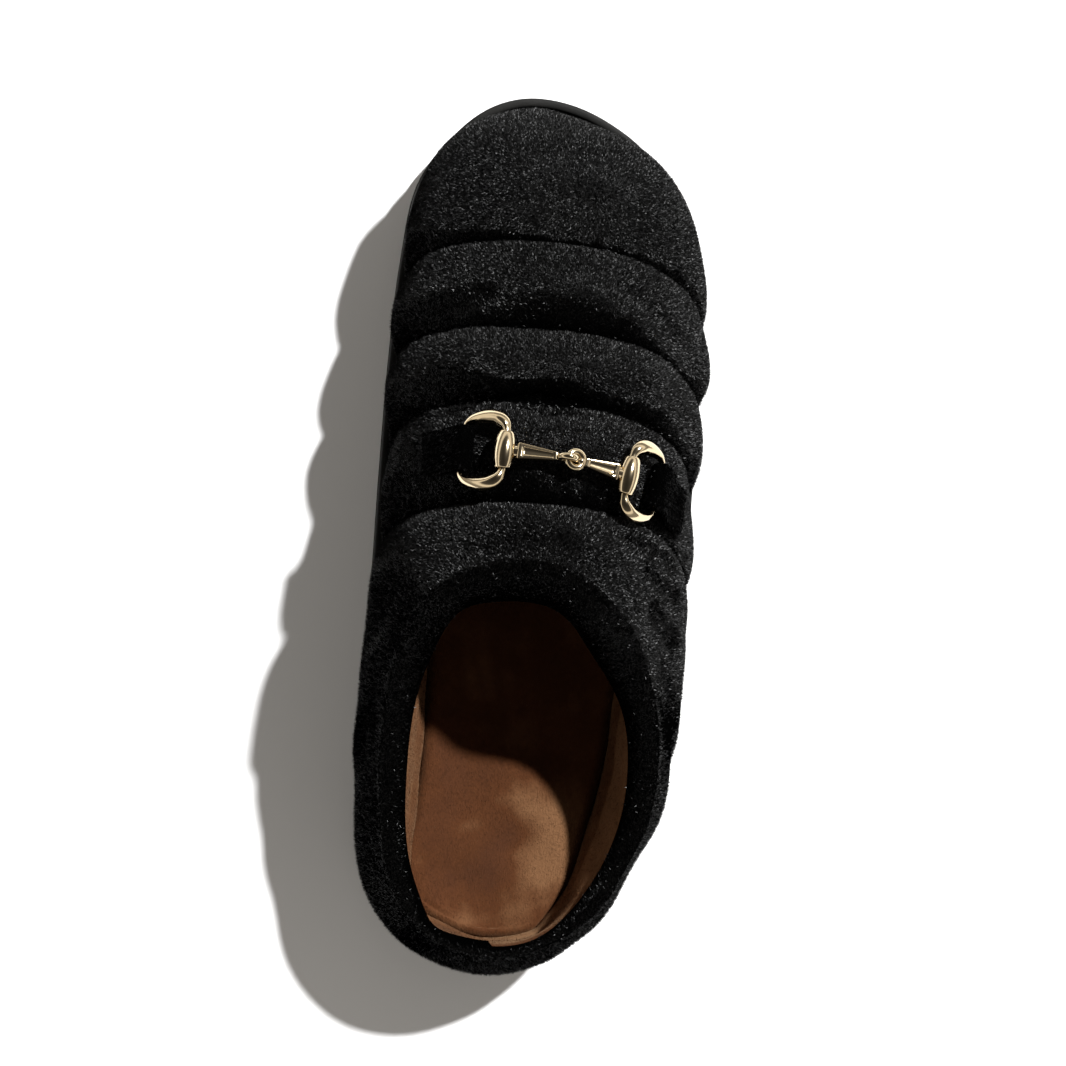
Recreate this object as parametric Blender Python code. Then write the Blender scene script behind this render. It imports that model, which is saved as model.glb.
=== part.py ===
"""Quilted winter slipper for the right foot, in metres.

+Y runs to the toe, +X to the outer (lateral) side and +Z up. The origin is on the floor under the
middle of the slipper. The padded upper is worked out from a plan outline, a row of folds and an oval
collar; the sole, footbed, straps and the snaffle-bit ornament are set against it.
"""

import math

import bmesh
import bpy
import numpy as np
from mathutils import Matrix

# Driving sizes
LENGTH = 0.2690
BALL_WIDTH = 0.1030
INSTEP_HEIGHT = 0.0925
HEEL_HEIGHT = 0.0510
CLEARANCE = 0.0003

# Plan outline of the whole slipper, seen from above: half widths each side of the centre line
OUTLINE = np.array(
    [
        # along,   medial,  lateral
        (0.1345, 0.0070, -0.0070),
        (0.1290, 0.0245, 0.0150),
        (0.1200, 0.0340, 0.0285),
        (0.1060, 0.0430, 0.0374),
        (0.0860, 0.0477, 0.0448),
        (0.0560, 0.0496, 0.0530),
        (0.0200, 0.0502, 0.0528),
        (-0.0250, 0.0503, 0.0527),
        (-0.0600, 0.0502, 0.0481),
        (-0.0900, 0.0498, 0.0393),
        (-0.1100, 0.0467, 0.0297),
        (-0.1220, 0.0378, 0.0212),
        (-0.1300, 0.0246, 0.0140),
        (-0.1345, 0.0060, -0.0060),
    ]
)
OUTLINE_WIDTH = 0.1030  # the width that the outline's rows add up to at the ball

# Where each row of the quilting crosses the crown of the foot; whole folds are the sewn grooves
CROWN = np.array(
    [
        # fold,  across,   along,  height
        (0.00, -0.0080, 0.1295, 0.0215),
        (0.10, -0.0080, 0.1296, 0.0295),
        (0.25, -0.0078, 0.1272, 0.0395),
        (0.45, -0.0072, 0.1195, 0.0500),
        (0.70, -0.0062, 0.1060, 0.0565),
        (1.00, -0.0050, 0.0862, 0.0602),
        (2.00, -0.0035, 0.0598, 0.0668),
        (3.00, -0.0025, 0.0380, 0.0735),
        (4.00, -0.0020, 0.0078, 0.0832),
    ]
)

# Where each fold comes down to the sole on the two sides, and how proud the puff behind it stands
FOLDS = np.array(
    [
        # fold, lateral,  medial, puff
        (0.0, 0.0930, 0.1010, 0.0040),
        (1.0, 0.0550, 0.0720, 0.0058),
        (2.0, 0.0300, 0.0470, 0.0058),
        (3.0, 0.0045, 0.0205, 0.0056),
        (4.0, -0.0260, -0.0120, 0.0000),
    ]
)

# Sole seen from the side: underside and top along the foot
SOLE = np.array(
    [
        # along, underside, top
        (-0.1345, 0.0035, 0.0205),
        (-0.1200, 0.0000, 0.0200),
        (-0.0500, 0.0000, 0.0185),
        (0.0200, 0.0000, 0.0162),
        (0.0720, 0.0000, 0.0160),
        (0.1000, 0.0022, 0.0172),
        (0.1345, 0.0085, 0.0212),
    ]
)
ARCH_RISE = 0.0026
ARCH_REACH = (-0.0420, -0.0040)
ARCH_EASE = 0.0120

# Thickness of the padded wall where it stands on the sole
WALL = np.array(
    [
        # along, medial, lateral
        (-0.1345, 0.0090, 0.0090),
        (-0.1100, 0.0125, 0.0085),
        (-0.0750, 0.0150, 0.0120),
        (-0.0450, 0.0155, 0.0155),
        (-0.0160, 0.0120, 0.0145),
        (0.0200, 0.0090, 0.0095),
        (0.1345, 0.0090, 0.0090),
    ]
)
TOP_WALL = 0.0050  # at the sewn grooves over the foot
FEATHER_INSET = 0.0050  # the upper meets the sole this far inside the plan outline
PUFF_ROUND = 0.62  # lower is fuller
PUFF_SIDE = 0.30  # the puffs stand less proud at the sides, by this share
PUFF_EASE = 0.0130  # height over which a puff swells from the sole
WALL_EASE = 0.0250  # height over which the wall thins from the sole

# Collar: the top of its padded roll, and the inner edge where the roll meets the lining
RIDGE_FRONT = -0.0080
RIDGE_BACK = -0.1278
RIDGE_HALF_WIDTH = 0.0415
EDGE_FRONT = -0.0205
EDGE_BACK = -0.1215
EDGE_HALF_WIDTH = 0.0330
COLLAR_LEAN = np.array(
    [
        # along, across: the opening leans to the medial side at both ends
        (-0.1278, -0.0058),
        (-0.0750, -0.0012),
        (-0.0080, -0.0062),
    ]
)
COLLAR_SQUARENESS = 2.2
COLLAR_FALL = 2.2  # how soon the collar drops from the instep towards the heel
EDGE_DROP_FRONT = 0.0095
EDGE_DROP_BACK = 0.0045
COLLAR_TURN = math.radians(66)  # where the last fold reaches the sole, round the oval from the throat
SWELL_FRONT = 0.0040
SWELL_BACK = 0.0066
SWELL_SOON = 0.75

# Exponents of the section's round quarter arcs, from the sole (0) to the crown (1)
ARC_ACROSS = 0.86
ARC_ALONG = 0.66
ARC_UP = 0.88

# Mesh steps
COLUMNS = 30
HEEL_COLUMNS = 30
PUFF_STEPS = (0.0, 0.10, 0.30, 0.50, 0.70, 0.90)
TOE_STEPS = (0.0, 0.10, 0.22, 0.36, 0.52, 0.70, 0.88)
COLLAR_STEPS = (0.12, 0.30, 0.50, 0.72, 0.90, 1.0)
ROLL_STEPS = (0.33, 0.67, 1.0)
LINING_STEPS = (0.72, 0.38)
LINING_CURVE = 1.6  # how late the lining leans out to the collar's edge


def smooth_through(positions, values):
    """A smooth curve through a table's rows; flat steps stay within their neighbours."""
    x = np.asarray(positions, float)
    y = np.asarray(values, float)
    if x[0] > x[-1]:
        x, y = x[::-1], y[::-1]
    run = np.diff(x)
    slope = np.diff(y) / run
    tangent = np.empty_like(y)
    tangent[0], tangent[-1] = slope[0], slope[-1]
    mean = (slope[:-1] * run[1:] + slope[1:] * run[:-1]) / (run[1:] + run[:-1])
    limit = 3 * np.minimum(np.abs(slope[:-1]), np.abs(slope[1:]))
    same_way = slope[:-1] * slope[1:] > 0
    tangent[1:-1] = np.where(same_way, np.clip(mean, -limit, limit), 0)

    def read(at):
        at = np.clip(np.asarray(at, float), x[0], x[-1])
        i = np.clip(np.searchsorted(x, at) - 1, 0, len(run) - 1)
        t = (at - x[i]) / run[i]
        return (
            (2 * t**3 - 3 * t**2 + 1) * y[i]
            + (t**3 - 2 * t**2 + t) * run[i] * tangent[i]
            + (3 * t**2 - 2 * t**3) * y[i + 1]
            + (t**3 - t**2) * run[i] * tangent[i + 1]
        )

    return read


def ease(value, start, end):
    """0 before start, 1 after end, and a soft step between."""
    t = np.clip((np.asarray(value, float) - start) / (end - start), 0, 1)
    return t * t * (3 - 2 * t)


def unit(v):
    v = np.asarray(v, float)
    return v / np.maximum(np.linalg.norm(v, axis=-1, keepdims=True), 1e-12)


# Plan outline

HALF_LENGTH = LENGTH / 2
WIDTH_SCALE = BALL_WIDTH / OUTLINE_WIDTH
LATERAL, MEDIAL = 1, -1


def turn_of(along):
    """The outline's angle at a place along the foot: 0 at the toe tip, pi at the heel tip."""
    return np.arccos(np.clip(np.asarray(along, float) / HALF_LENGTH, -1, 1))


_medial_width = smooth_through(turn_of(OUTLINE[:, 0]), -OUTLINE[:, 1] * WIDTH_SCALE)
_lateral_width = smooth_through(turn_of(OUTLINE[:, 0]), OUTLINE[:, 2] * WIDTH_SCALE)


def _outline_bare(turn):
    """Turn runs from 0 at the toe down the lateral side to pi, and from 0 to -pi down the medial side."""
    turn = np.asarray(turn, float)
    across = np.where(turn >= 0, _lateral_width(np.abs(turn)), _medial_width(np.abs(turn)))
    return np.stack([across, HALF_LENGTH * np.cos(turn)], axis=-1)


def outline(turn, inset=0.0):
    """Points of the plan outline, moved in by inset, as (across, along)."""
    step = 0.004
    turn = np.asarray(turn, float)
    ahead = turn + step
    behind = turn - step
    ahead = np.where(ahead > math.pi, ahead - 2 * math.pi, ahead)
    behind = np.where(behind < -math.pi, behind + 2 * math.pi, behind)
    tangent = unit(_outline_bare(ahead) - _outline_bare(behind))
    outward = np.stack([-tangent[..., 1], tangent[..., 0]], axis=-1)
    inset = np.asarray(inset, float)[..., None] if np.ndim(inset) else inset
    return _outline_bare(turn) - outward * inset


underside_height = smooth_through(SOLE[:, 0], SOLE[:, 1])
sole_top = smooth_through(SOLE[:, 0], SOLE[:, 2])
_medial_wall = smooth_through(WALL[:, 0], WALL[:, 1])
_lateral_wall = smooth_through(WALL[:, 0], WALL[:, 2])


def wall_at_sole(along, lateral):
    """Thickness of the padded wall on the sole, on the lateral or the medial side."""
    return np.where(lateral, _lateral_wall(along), _medial_wall(along))


def crease_depth(turn):
    return wall_at_sole(HALF_LENGTH * np.cos(turn), np.asarray(turn) >= 0)


def feather(turn, depth=0.0):
    """Points where the upper stands on the sole; depth goes into its wall."""
    plan = outline(turn, FEATHER_INSET + np.asarray(depth, float))
    along = HALF_LENGTH * np.cos(turn)
    return np.concatenate([plan, (sole_top(along) + CLEARANCE)[..., None]], axis=-1)


# Vamp: rows of the quilting, each an arch from the sole over the crown to the sole

_crown_across = smooth_through(CROWN[:, 0], CROWN[:, 1])
_crown_along = smooth_through(CROWN[:, 0], CROWN[:, 2])
_crown_height = smooth_through(CROWN[:, 0], CROWN[:, 3])
_lateral_end = smooth_through(FOLDS[:, 0], FOLDS[:, 1])
_medial_end = smooth_through(FOLDS[:, 0], FOLDS[:, 2])
LAST_FOLD = FOLDS[-1, 0]
TOE_ROUND = 1.15  # spacing of the toe row's points round the outline
TOE_FIT = 0.45  # the fold by which the rows no longer follow the toe's own outline


def vamp_base(fold, arch):
    """The upper at the depth of its sewn grooves. Arch is 0 at the lateral sole and pi at the medial one."""
    fold, arch = np.broadcast_arrays(np.asarray(fold, float), np.asarray(arch, float))
    side = np.where(arch <= math.pi / 2, LATERAL, MEDIAL)
    end_turn = np.where(side == LATERAL, turn_of(_lateral_end(fold)), -turn_of(_medial_end(fold)))
    foot = feather(end_turn)
    crown = np.stack([_crown_across(fold), _crown_along(fold), _crown_height(fold)], axis=-1)
    rise = np.clip(np.sin(arch), 0, 1)
    fall = np.abs(np.cos(arch))
    keep = np.stack([fall**ARC_ACROSS, 1 - rise**ARC_ALONG, 1 - rise**ARC_UP], axis=-1)
    point = crown + (foot - crown) * keep
    # Rows at the toe tip follow the sole's outline
    first_turn = np.where(side == LATERAL, turn_of(FOLDS[0, 1]), -turn_of(FOLDS[0, 2]))
    first_foot = feather(first_turn)
    first_crown = CROWN[0, 1:]
    plain = first_crown + (first_foot - first_crown) * keep
    true = feather(first_turn * (1 - rise**TOE_ROUND))
    near_toe = (1 - ease(fold, 0, TOE_FIT))[..., None]
    return point + (true - plain) * near_toe


def vamp_frame(fold, arch):
    """Point, outward normal, and the unit directions round the arch and along the folds."""
    d_fold, d_arch = 0.02, 0.01
    fold, arch = np.broadcast_arrays(np.asarray(fold, float), np.asarray(arch, float))
    f0, f1 = np.clip(fold - d_fold, 0, LAST_FOLD), np.clip(fold + d_fold, 0, LAST_FOLD)
    a0, a1 = np.clip(arch - d_arch, 0.002, math.pi - 0.002), np.clip(arch + d_arch, 0.002, math.pi - 0.002)
    along = unit(vamp_base(f1, arch) - vamp_base(f0, arch))
    round_arch = unit(vamp_base(fold, a1) - vamp_base(fold, a0))
    normal = unit(np.cross(round_arch, along))
    return vamp_base(fold, arch), normal, round_arch, along


TOE_SWELL_LATE = 1.8  # the toe's puff keeps clear of the sole's lip before it swells
STRAP_PRESS = 0.5  # how far the straps flatten the puff that they cross
STRAP_FOLD = 3.5


def puff_height(fold, arch, height_over_sole):
    """How far the padding stands over the sewn grooves."""
    fold = np.asarray(fold, float)
    row = np.clip(np.floor(fold), 0, LAST_FOLD - 1).astype(int)
    share = fold - row
    toe = row == 0
    swell = np.sin(math.pi * np.clip(np.where(toe, share**TOE_SWELL_LATE, share), 0, 1)) ** PUFF_ROUND
    tall = FOLDS[row, 3]
    beside = ease(np.abs(np.cos(arch)), 0.35, 0.75) * STRAP_PRESS
    pressed = np.where(row == int(STRAP_FOLD), 1 - beside, 1.0)
    at_side = 1 - PUFF_SIDE * np.cos(arch) ** 2
    return tall * swell * pressed * at_side * ease(height_over_sole, 0.0, PUFF_EASE)


def vamp_outer(fold, arch, lift=0.0):
    point, normal, _, _ = vamp_frame(fold, arch)
    over = point[..., 2] - sole_top(point[..., 1])
    swell = puff_height(fold, arch, over) + lift
    return point + normal * swell[..., None]


def vamp_inner(fold, arch):
    point, normal, _, _ = vamp_frame(fold, arch)
    over = point[..., 2] - sole_top(point[..., 1])
    side_wall = wall_at_sole(point[..., 1], np.asarray(arch) <= math.pi / 2)
    thick = TOP_WALL + (side_wall - TOP_WALL) * (1 - ease(over, 0, WALL_EASE))
    return point - normal * thick[..., None]


# Collar and heel: an oval band from the last fold and the sole up to the padded roll


_collar_middle = smooth_through(COLLAR_LEAN[:, 0], COLLAR_LEAN[:, 1])


def collar_oval(around, front, back, half_width):
    """Plan of an oval round the opening. Around is 0 at the throat and positive on the lateral side."""
    c, s = np.cos(around), np.sin(around)
    power = 2 / COLLAR_SQUARENESS
    along = (front + back) / 2 + (front - back) / 2 * np.sign(c) * np.abs(c) ** power
    across = _collar_middle(along) + half_width * np.sign(s) * np.abs(s) ** power
    return np.stack([across, along], axis=-1)


def ridge(around):
    high = ((1 + np.cos(around)) / 2) ** COLLAR_FALL
    plan = collar_oval(around, RIDGE_FRONT, RIDGE_BACK, RIDGE_HALF_WIDTH)
    height = HEEL_HEIGHT + (INSTEP_HEIGHT - HEEL_HEIGHT) * high
    return np.concatenate([plan, height[..., None]], axis=-1)


def lining_edge(around):
    high = ((1 + np.cos(around)) / 2) ** COLLAR_FALL
    plan = collar_oval(around, EDGE_FRONT, EDGE_BACK, EDGE_HALF_WIDTH)
    drop = EDGE_DROP_BACK + (EDGE_DROP_FRONT - EDGE_DROP_BACK) * high
    return np.concatenate([plan, (ridge(around)[..., 2] - drop)[..., None]], axis=-1)


def heel_turns(count):
    """Even steps of the outline from the last fold's medial end round the heel to its lateral end."""
    start = -turn_of(FOLDS[-1, 2])
    end = turn_of(FOLDS[-1, 1]) - 2 * math.pi
    fine = np.linspace(start, end, 400)
    wrapped = np.where(fine < -math.pi, fine + 2 * math.pi, fine)
    plan = outline(wrapped, FEATHER_INSET)
    run = np.concatenate([[0], np.cumsum(np.linalg.norm(np.diff(plan, axis=0), axis=1))])
    share = np.linspace(0, 1, count + 2)[1:-1]
    turn = np.interp(share * run[-1], run, fine)
    return np.where(turn < -math.pi, turn + 2 * math.pi, turn), share


def collar_profile(foot, top, around, share):
    """From the foot of the band to its ridge, swelling outwards between."""
    tangent = unit(np.roll(foot + top, -1, axis=0) - np.roll(foot + top, 1, axis=0))
    outward = unit(np.cross(unit(top - foot), tangent))
    middle = (foot + top).mean(axis=0) / 2
    lift = np.array([0, 0, 0.06])
    outward = np.where((np.sum(outward * (foot - middle + lift), axis=1) < 0)[:, None], -outward, outward)
    high = ((1 + np.cos(around)) / 2) ** COLLAR_FALL
    swell = SWELL_BACK + (SWELL_FRONT - SWELL_BACK) * high
    bulge = math.sin(math.pi * share**SWELL_SOON) * swell
    return foot + (top - foot) * share + outward * bulge[:, None]


# Meshes


def make_material(name, colour, roughness, metallic=0.0):
    material = bpy.data.materials.new(name)
    material.use_nodes = True
    shader = material.node_tree.nodes["Principled BSDF"]
    shader.inputs["Base Color"].default_value = (*colour, 1.0)
    shader.inputs["Roughness"].default_value = roughness
    shader.inputs["Metallic"].default_value = metallic
    return material


def make_object(name, points, faces, material, smooth=True):
    mesh = bpy.data.meshes.new(name)
    mesh.from_pydata([tuple(map(float, p)) for p in points], [], faces)
    tidy = bmesh.new()
    tidy.from_mesh(mesh)
    bmesh.ops.recalc_face_normals(tidy, faces=tidy.faces)
    if tidy.calc_volume(signed=True) < 0:
        bmesh.ops.reverse_faces(tidy, faces=tidy.faces)
    tidy.to_mesh(mesh)
    tidy.free()
    if smooth:
        mesh.shade_smooth()
        mesh.set_sharp_from_angle(angle=math.radians(40))
    mesh.materials.append(material)
    thing = bpy.data.objects.new(name, mesh)
    bpy.context.scene.collection.objects.link(thing)
    return thing


def band(lower, upper, closed=True):
    """Quads between two rows of point numbers."""
    count = len(lower)
    last = count if closed else count - 1
    return [(lower[i], lower[(i + 1) % count], upper[(i + 1) % count], upper[i]) for i in range(last)]


class Points:
    """A growing list of points that gives back the numbers of the rows put in."""

    def __init__(self):
        self.rows = []
        self.count = 0

    def add(self, points):
        points = np.asarray(points, float).reshape(-1, 3)
        self.rows.append(points)
        numbers = list(range(self.count, self.count + len(points)))
        self.count += len(points)
        return numbers

    def all(self):
        return np.concatenate(self.rows)


def fold_steps():
    steps = [share for share in TOE_STEPS]
    for fold in range(1, int(LAST_FOLD)):
        steps += [fold + share for share in PUFF_STEPS]
    return np.array(steps + [LAST_FOLD])


def arch_steps():
    return np.linspace(0, math.pi, COLUMNS + 1)


def build_upper(material):
    folds, arches = fold_steps(), arch_steps()
    fold_grid, arch_grid = np.meshgrid(folds, arches, indexing="ij")
    outer, inner = vamp_outer(fold_grid, arch_grid), vamp_inner(fold_grid, arch_grid)

    # The rim on the sole is exact: the toe row, and both ends of every row
    first_turn = np.where(arches <= math.pi / 2, turn_of(FOLDS[0, 1]), -turn_of(FOLDS[0, 2]))
    toe_turn = first_turn * (1 - np.sin(arches) ** TOE_ROUND)
    lateral_turn, medial_turn = turn_of(_lateral_end(folds)), -turn_of(_medial_end(folds))
    for sheet, deep in ((outer, 0), (inner, 1)):
        for place, turn in ((np.s_[0, :], toe_turn), (np.s_[:, 0], lateral_turn), (np.s_[:, -1], medial_turn)):
            sheet[place] = feather(turn, deep * crease_depth(turn))

    turns, share = heel_turns(HEEL_COLUMNS)
    heel_foot, heel_crease = feather(turns), feather(turns, crease_depth(turns))
    around_front = COLLAR_TURN * (1 - 2 * arches / math.pi)
    around_heel = -COLLAR_TURN - (2 * math.pi - 2 * COLLAR_TURN) * share
    around = np.concatenate([around_front, around_heel])
    top, edge = ridge(around), lining_edge(around)

    points, faces = Points(), []
    outer_rows = [points.add(row) for row in outer]
    inner_rows = [points.add(row) for row in inner]
    for rows in (outer_rows, inner_rows):
        for lower, upper in zip(rows, rows[1:]):
            faces += band(lower, upper, closed=False)

    heel_foot_numbers = points.add(heel_foot)
    heel_crease_numbers = points.add(heel_crease)
    foot = np.concatenate([outer[-1], heel_foot])
    crease = np.concatenate([inner[-1], heel_crease])
    below = outer_rows[-1] + heel_foot_numbers
    for step in COLLAR_STEPS:
        row = points.add(collar_profile(foot, top, around, step))
        faces += band(below, row)
        below = row
    for step in ROLL_STEPS:
        turn = step * math.pi / 2
        level = top[:, :2] + (edge - top)[:, :2] * math.sin(turn)
        height = top[:, 2] + (edge - top)[:, 2] * (1 - math.cos(turn))
        row = points.add(np.column_stack([level, height]))
        faces += band(below, row)
        below = row
    for step in LINING_STEPS:
        level = crease[:, :2] + (edge - crease)[:, :2] * step**LINING_CURVE
        height = crease[:, 2] + (edge - crease)[:, 2] * step
        row = points.add(np.column_stack([level, height]))
        faces += band(below, row)
        below = row
    faces += band(below, inner_rows[-1] + heel_crease_numbers)

    # Underneath, the wall's foot runs from the outer feather line to the crease
    lateral_ends = [[row[0] for row in rows] for rows in (outer_rows, inner_rows)]
    medial_ends = [[row[-1] for row in rows] for rows in (outer_rows, inner_rows)]
    loops = []
    for rows, lateral, medial, heel in (
        (outer_rows, lateral_ends[0], medial_ends[0], heel_foot_numbers),
        (inner_rows, lateral_ends[1], medial_ends[1], heel_crease_numbers),
    ):
        loops.append(lateral[:0:-1] + rows[0] + medial[1:] + heel)
    faces += band(*loops)
    return make_object("upper", points.all(), faces, material)


# Outsole: rings round the outline, closed by the tread below and a shelf above

SOLE_INSET_SIDE = 0.0024
SOLE_INSET_TOE = 0.0
TOE_LIP_START = 0.0800
TOE_LIP_FULL = 0.1180
TOE_LIP_HEIGHT = 0.0070
TOE_LIP_INSET = 0.0021
SHELF_INSET = 0.0030
BORDER_WIDTH = 0.0095
GROOVE_DRAFT = 0.0006
TREAD_DEPTH = 0.0022
TREAD_GROOVES = (-0.1130, -0.0960, -0.0790, -0.0620, 0.0080, 0.0250, 0.0420, 0.0590, 0.0760)
TREAD_GROOVE_WIDTH = 0.0060
SOLE_TIP_STEPS = 10
SIDE_RIB_DEPTH = 0.0009
SOLE_BEVEL = 0.0026
RIM_ROUND = 0.0007

# Side of the sole, as shares of its height, with a sunk line above and below a raised band
SOLE_SIDE = (
    # share, sunk
    (0.14, 0.0006),
    (0.30, 0.0),
    (0.42, 0.0),
    (0.46, SIDE_RIB_DEPTH),
    (0.56, SIDE_RIB_DEPTH),
    (0.60, 0.0),
    (0.94, 0.0),
)


def sole_inset(along):
    return SOLE_INSET_SIDE + (SOLE_INSET_TOE - SOLE_INSET_SIDE) * ease(along, TOE_LIP_START, TOE_LIP_FULL)


def arch_lift(along):
    start, end = ARCH_REACH
    return ARCH_RISE * ease(along, start - ARCH_EASE, start) * (1 - ease(along, end, end + ARCH_EASE))


def ground(along):
    return underside_height(along) + arch_lift(along)


def sole_stations():
    """Places along the sole: the round ends, and both edges of every tread groove, with their draft."""
    places = []
    for middle in TREAD_GROOVES:
        for reach in (TREAD_GROOVE_WIDTH / 2, TREAD_GROOVE_WIDTH / 2 - GROOVE_DRAFT):
            places += [middle - reach, middle + reach]
    places += [ARCH_REACH[0], sum(ARCH_REACH) / 2, ARCH_REACH[1]]
    toe, heel = max(places), min(places)
    quarter = np.linspace(0, math.pi / 2, SOLE_TIP_STEPS + 1)[:-1]
    places += [toe + (HALF_LENGTH - toe) * math.cos(q) for q in quarter[1:]]
    places += [heel - (HALF_LENGTH + heel) * math.cos(q) for q in quarter[1:]]
    return np.array(sorted(places, reverse=True))


def in_groove(along):
    reach = TREAD_GROOVE_WIDTH / 2 - GROOVE_DRAFT / 2
    return np.min(np.abs(np.asarray(along)[:, None] - np.array(TREAD_GROOVES)), axis=1) < reach


def build_outsole(material):
    stations = sole_stations()
    down = turn_of(stations)
    turns = np.concatenate([[0.0], down, [math.pi], -down[::-1]])
    along = HALF_LENGTH * np.cos(turns)
    inset = sole_inset(along)
    low, high = ground(along), sole_top(along)
    lip = TOE_LIP_HEIGHT * ease(along, TOE_LIP_START, HALF_LENGTH)

    def ring(deeper, height):
        plan = outline(turns, inset + deeper)
        return np.column_stack([plan, height])

    points, faces = Points(), []
    inside = ring(BORDER_WIDTH + GROOVE_DRAFT, low)
    sunk = in_groove(along)
    inside[:, 2] += TREAD_DEPTH * sunk
    rings = [inside, ring(BORDER_WIDTH, low), ring(SOLE_BEVEL, low)]
    rings += [ring(sink, low + (high - low) * share) for share, sink in SOLE_SIDE]
    rings += [ring(RIM_ROUND, high + lip), ring(TOE_LIP_INSET, high + lip), ring(SHELF_INSET, high)]
    numbers = [points.add(r) for r in rings]
    for lower, upper in zip(numbers, numbers[1:]):
        faces += band(lower, upper)

    count = len(stations)
    for cap in (numbers[0], numbers[-1]):
        lateral, medial = cap[1 : count + 1], cap[: count + 1 : -1]
        faces.append((cap[0], lateral[0], medial[0]))
        faces.append((cap[count + 1], medial[-1], lateral[-1]))
        faces += band(lateral, medial, closed=False)
    return make_object("outsole", points.all(), faces, material)


# Insole: a padded footbed inside the wall, a little raised at its edge

INSOLE_HEIGHT = 0.0085
INSOLE_GAP = 0.0012
INSOLE_COLUMNS = 64
INSOLE_RINGS = (
    # inset, share of height
    (0.0000, 0.00),
    (0.0000, 0.55),
    (0.0010, 0.88),
    (0.0034, 1.00),
)
INSOLE_DISH = (
    # share across, share of height
    (0.12, 0.95),
    (0.30, 0.88),
    (0.50, 0.86),
    (0.70, 0.88),
    (0.88, 0.95),
)


def build_insole(material):
    half = INSOLE_COLUMNS // 2
    steps = np.linspace(0, math.pi, half + 1)
    turns = np.concatenate([steps, -steps[-2:0:-1]])
    along = HALF_LENGTH * np.cos(turns)
    base = FEATHER_INSET + crease_depth(turns) + INSOLE_GAP
    points, faces, numbers = Points(), [], []
    for deeper, share in INSOLE_RINGS:
        plan = outline(turns, base + deeper)
        height = sole_top(along) + CLEARANCE + INSOLE_HEIGHT * share
        rim = np.column_stack([plan, height])
        numbers.append(points.add(rim))
    for lower, upper in zip(numbers, numbers[1:]):
        faces += band(lower, upper)
    under, over = numbers[0], numbers[-1]
    faces.append(tuple(under))

    # The dished top: columns across between the rim's two sides, drawn together at both tips
    lateral, medial = rim[1:half], rim[:half:-1]
    columns = [over[1:half]]
    for across, share in INSOLE_DISH:
        column = lateral + (medial - lateral) * across
        column[:, 2] = sole_top(column[:, 1]) + CLEARANCE + INSOLE_HEIGHT * share
        columns.append(points.add(column))
    columns.append(over[:half:-1])
    for left, right in zip(columns, columns[1:]):
        faces += band(left, right, closed=False)
        faces.append((over[0], left[0], right[0]))
        faces.append((over[half], right[-1], left[-1]))
    return make_object("insole", points.all(), faces, material)


# Places on the puff that carries the ornament, by distance from the crown

STRAP_WIDTH = 0.0132
ORNAMENT_BACK = 0.13  # in folds
ORNAMENT_SKEW = 2.6  # in folds per metre
ORNAMENT_END = 0.0400
STRAP_HALF_FOLD = 0.22  # half of the strap's width, in folds
_row_arches = np.linspace(0.0, math.pi, 721)
_row_points = vamp_outer(STRAP_FOLD, _row_arches)
_row_run = np.concatenate([[0], np.cumsum(np.linalg.norm(np.diff(_row_points, axis=0), axis=1))])
_row_run = np.interp(math.pi / 2, _row_arches, _row_run) - _row_run


def arch_at(distance):
    """The arch angle at a distance from the crown; lateral distances are positive."""
    return np.interp(-np.asarray(distance, float), -_row_run, _row_arches)


def ornament_fold(distance):
    """The line that the ornament and straps follow: a little behind the puff's middle, and askew."""
    near = 1 - ease(np.abs(distance), ORNAMENT_END, 2 * ORNAMENT_END)
    return STRAP_FOLD + (ORNAMENT_BACK + ORNAMENT_SKEW * np.asarray(distance, float)) * near


def on_puff(distance, height):
    """A place over the ornament's puff; height is off the plush."""
    return vamp_outer(ornament_fold(distance), arch_at(distance), np.asarray(height, float))


def along_puff(distance):
    """The way back along the foot over the padding, as a strap lies across it."""
    fold, arch = ornament_fold(distance), arch_at(distance)
    return unit(vamp_outer(fold + STRAP_HALF_FOLD, arch) - vamp_outer(fold - STRAP_HALF_FOLD, arch))


LATERAL_ROW_END, MEDIAL_ROW_END = _row_run[0], _row_run[-1]

# Snaffle-bit ornament

BIT_CENTRE = 0.0074  # the link sits this far to the lateral side of the crown
BIT_REACH = {MEDIAL: 0.0182, LATERAL: 0.0168}  # from the link to each ring's bar
BIT_HEIGHT = 0.0042
LINK_HEIGHT = 0.0052
RING_DEPTH = 0.0135
RING_OUTER_HEIGHT = 0.0032
RING_WIRE = 0.0011
RING_SIDES = 10
RING_BAR = 0.0013

# Half of a ring from its bar (0) to its outer bar: distance out, distance along the foot, wire radius
RING_PATH = np.array(
    [
        # out,    along,   wire
        (0.0000, 0.0000, 0.0013),
        (0.0000, 0.0050, 0.0012),
        (0.0003, 0.0064, 0.0011),
        (0.0012, 0.0078, 0.0014),
        (0.0032, 0.0089, 0.0016),
        (0.0060, 0.0093, 0.0017),
        (0.0090, 0.0091, 0.0016),
        (0.0116, 0.0084, 0.0013),
        (0.0132, 0.0074, 0.0011),
        (0.0135, 0.0062, 0.0011),
        (0.0135, 0.0000, 0.0011),
    ]
)
SLEEVE_LENGTH = 0.0100
SLEEVE_BORE = RING_BAR + CLEARANCE
SLEEVE_PROFILE = (
    # along, radius
    (-0.5, 0.0025),
    (-0.3, 0.0030),
    (0.0, 0.0032),
    (0.3, 0.0030),
    (0.5, 0.0025),
)
SLEEVE_SIDES = 16
BAR_START, BAR_SHORT = 0.0044, 0.0040  # from the ring's bar, and from the link
BAR_THICK, BAR_THIN = 0.0023, 0.0010
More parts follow.
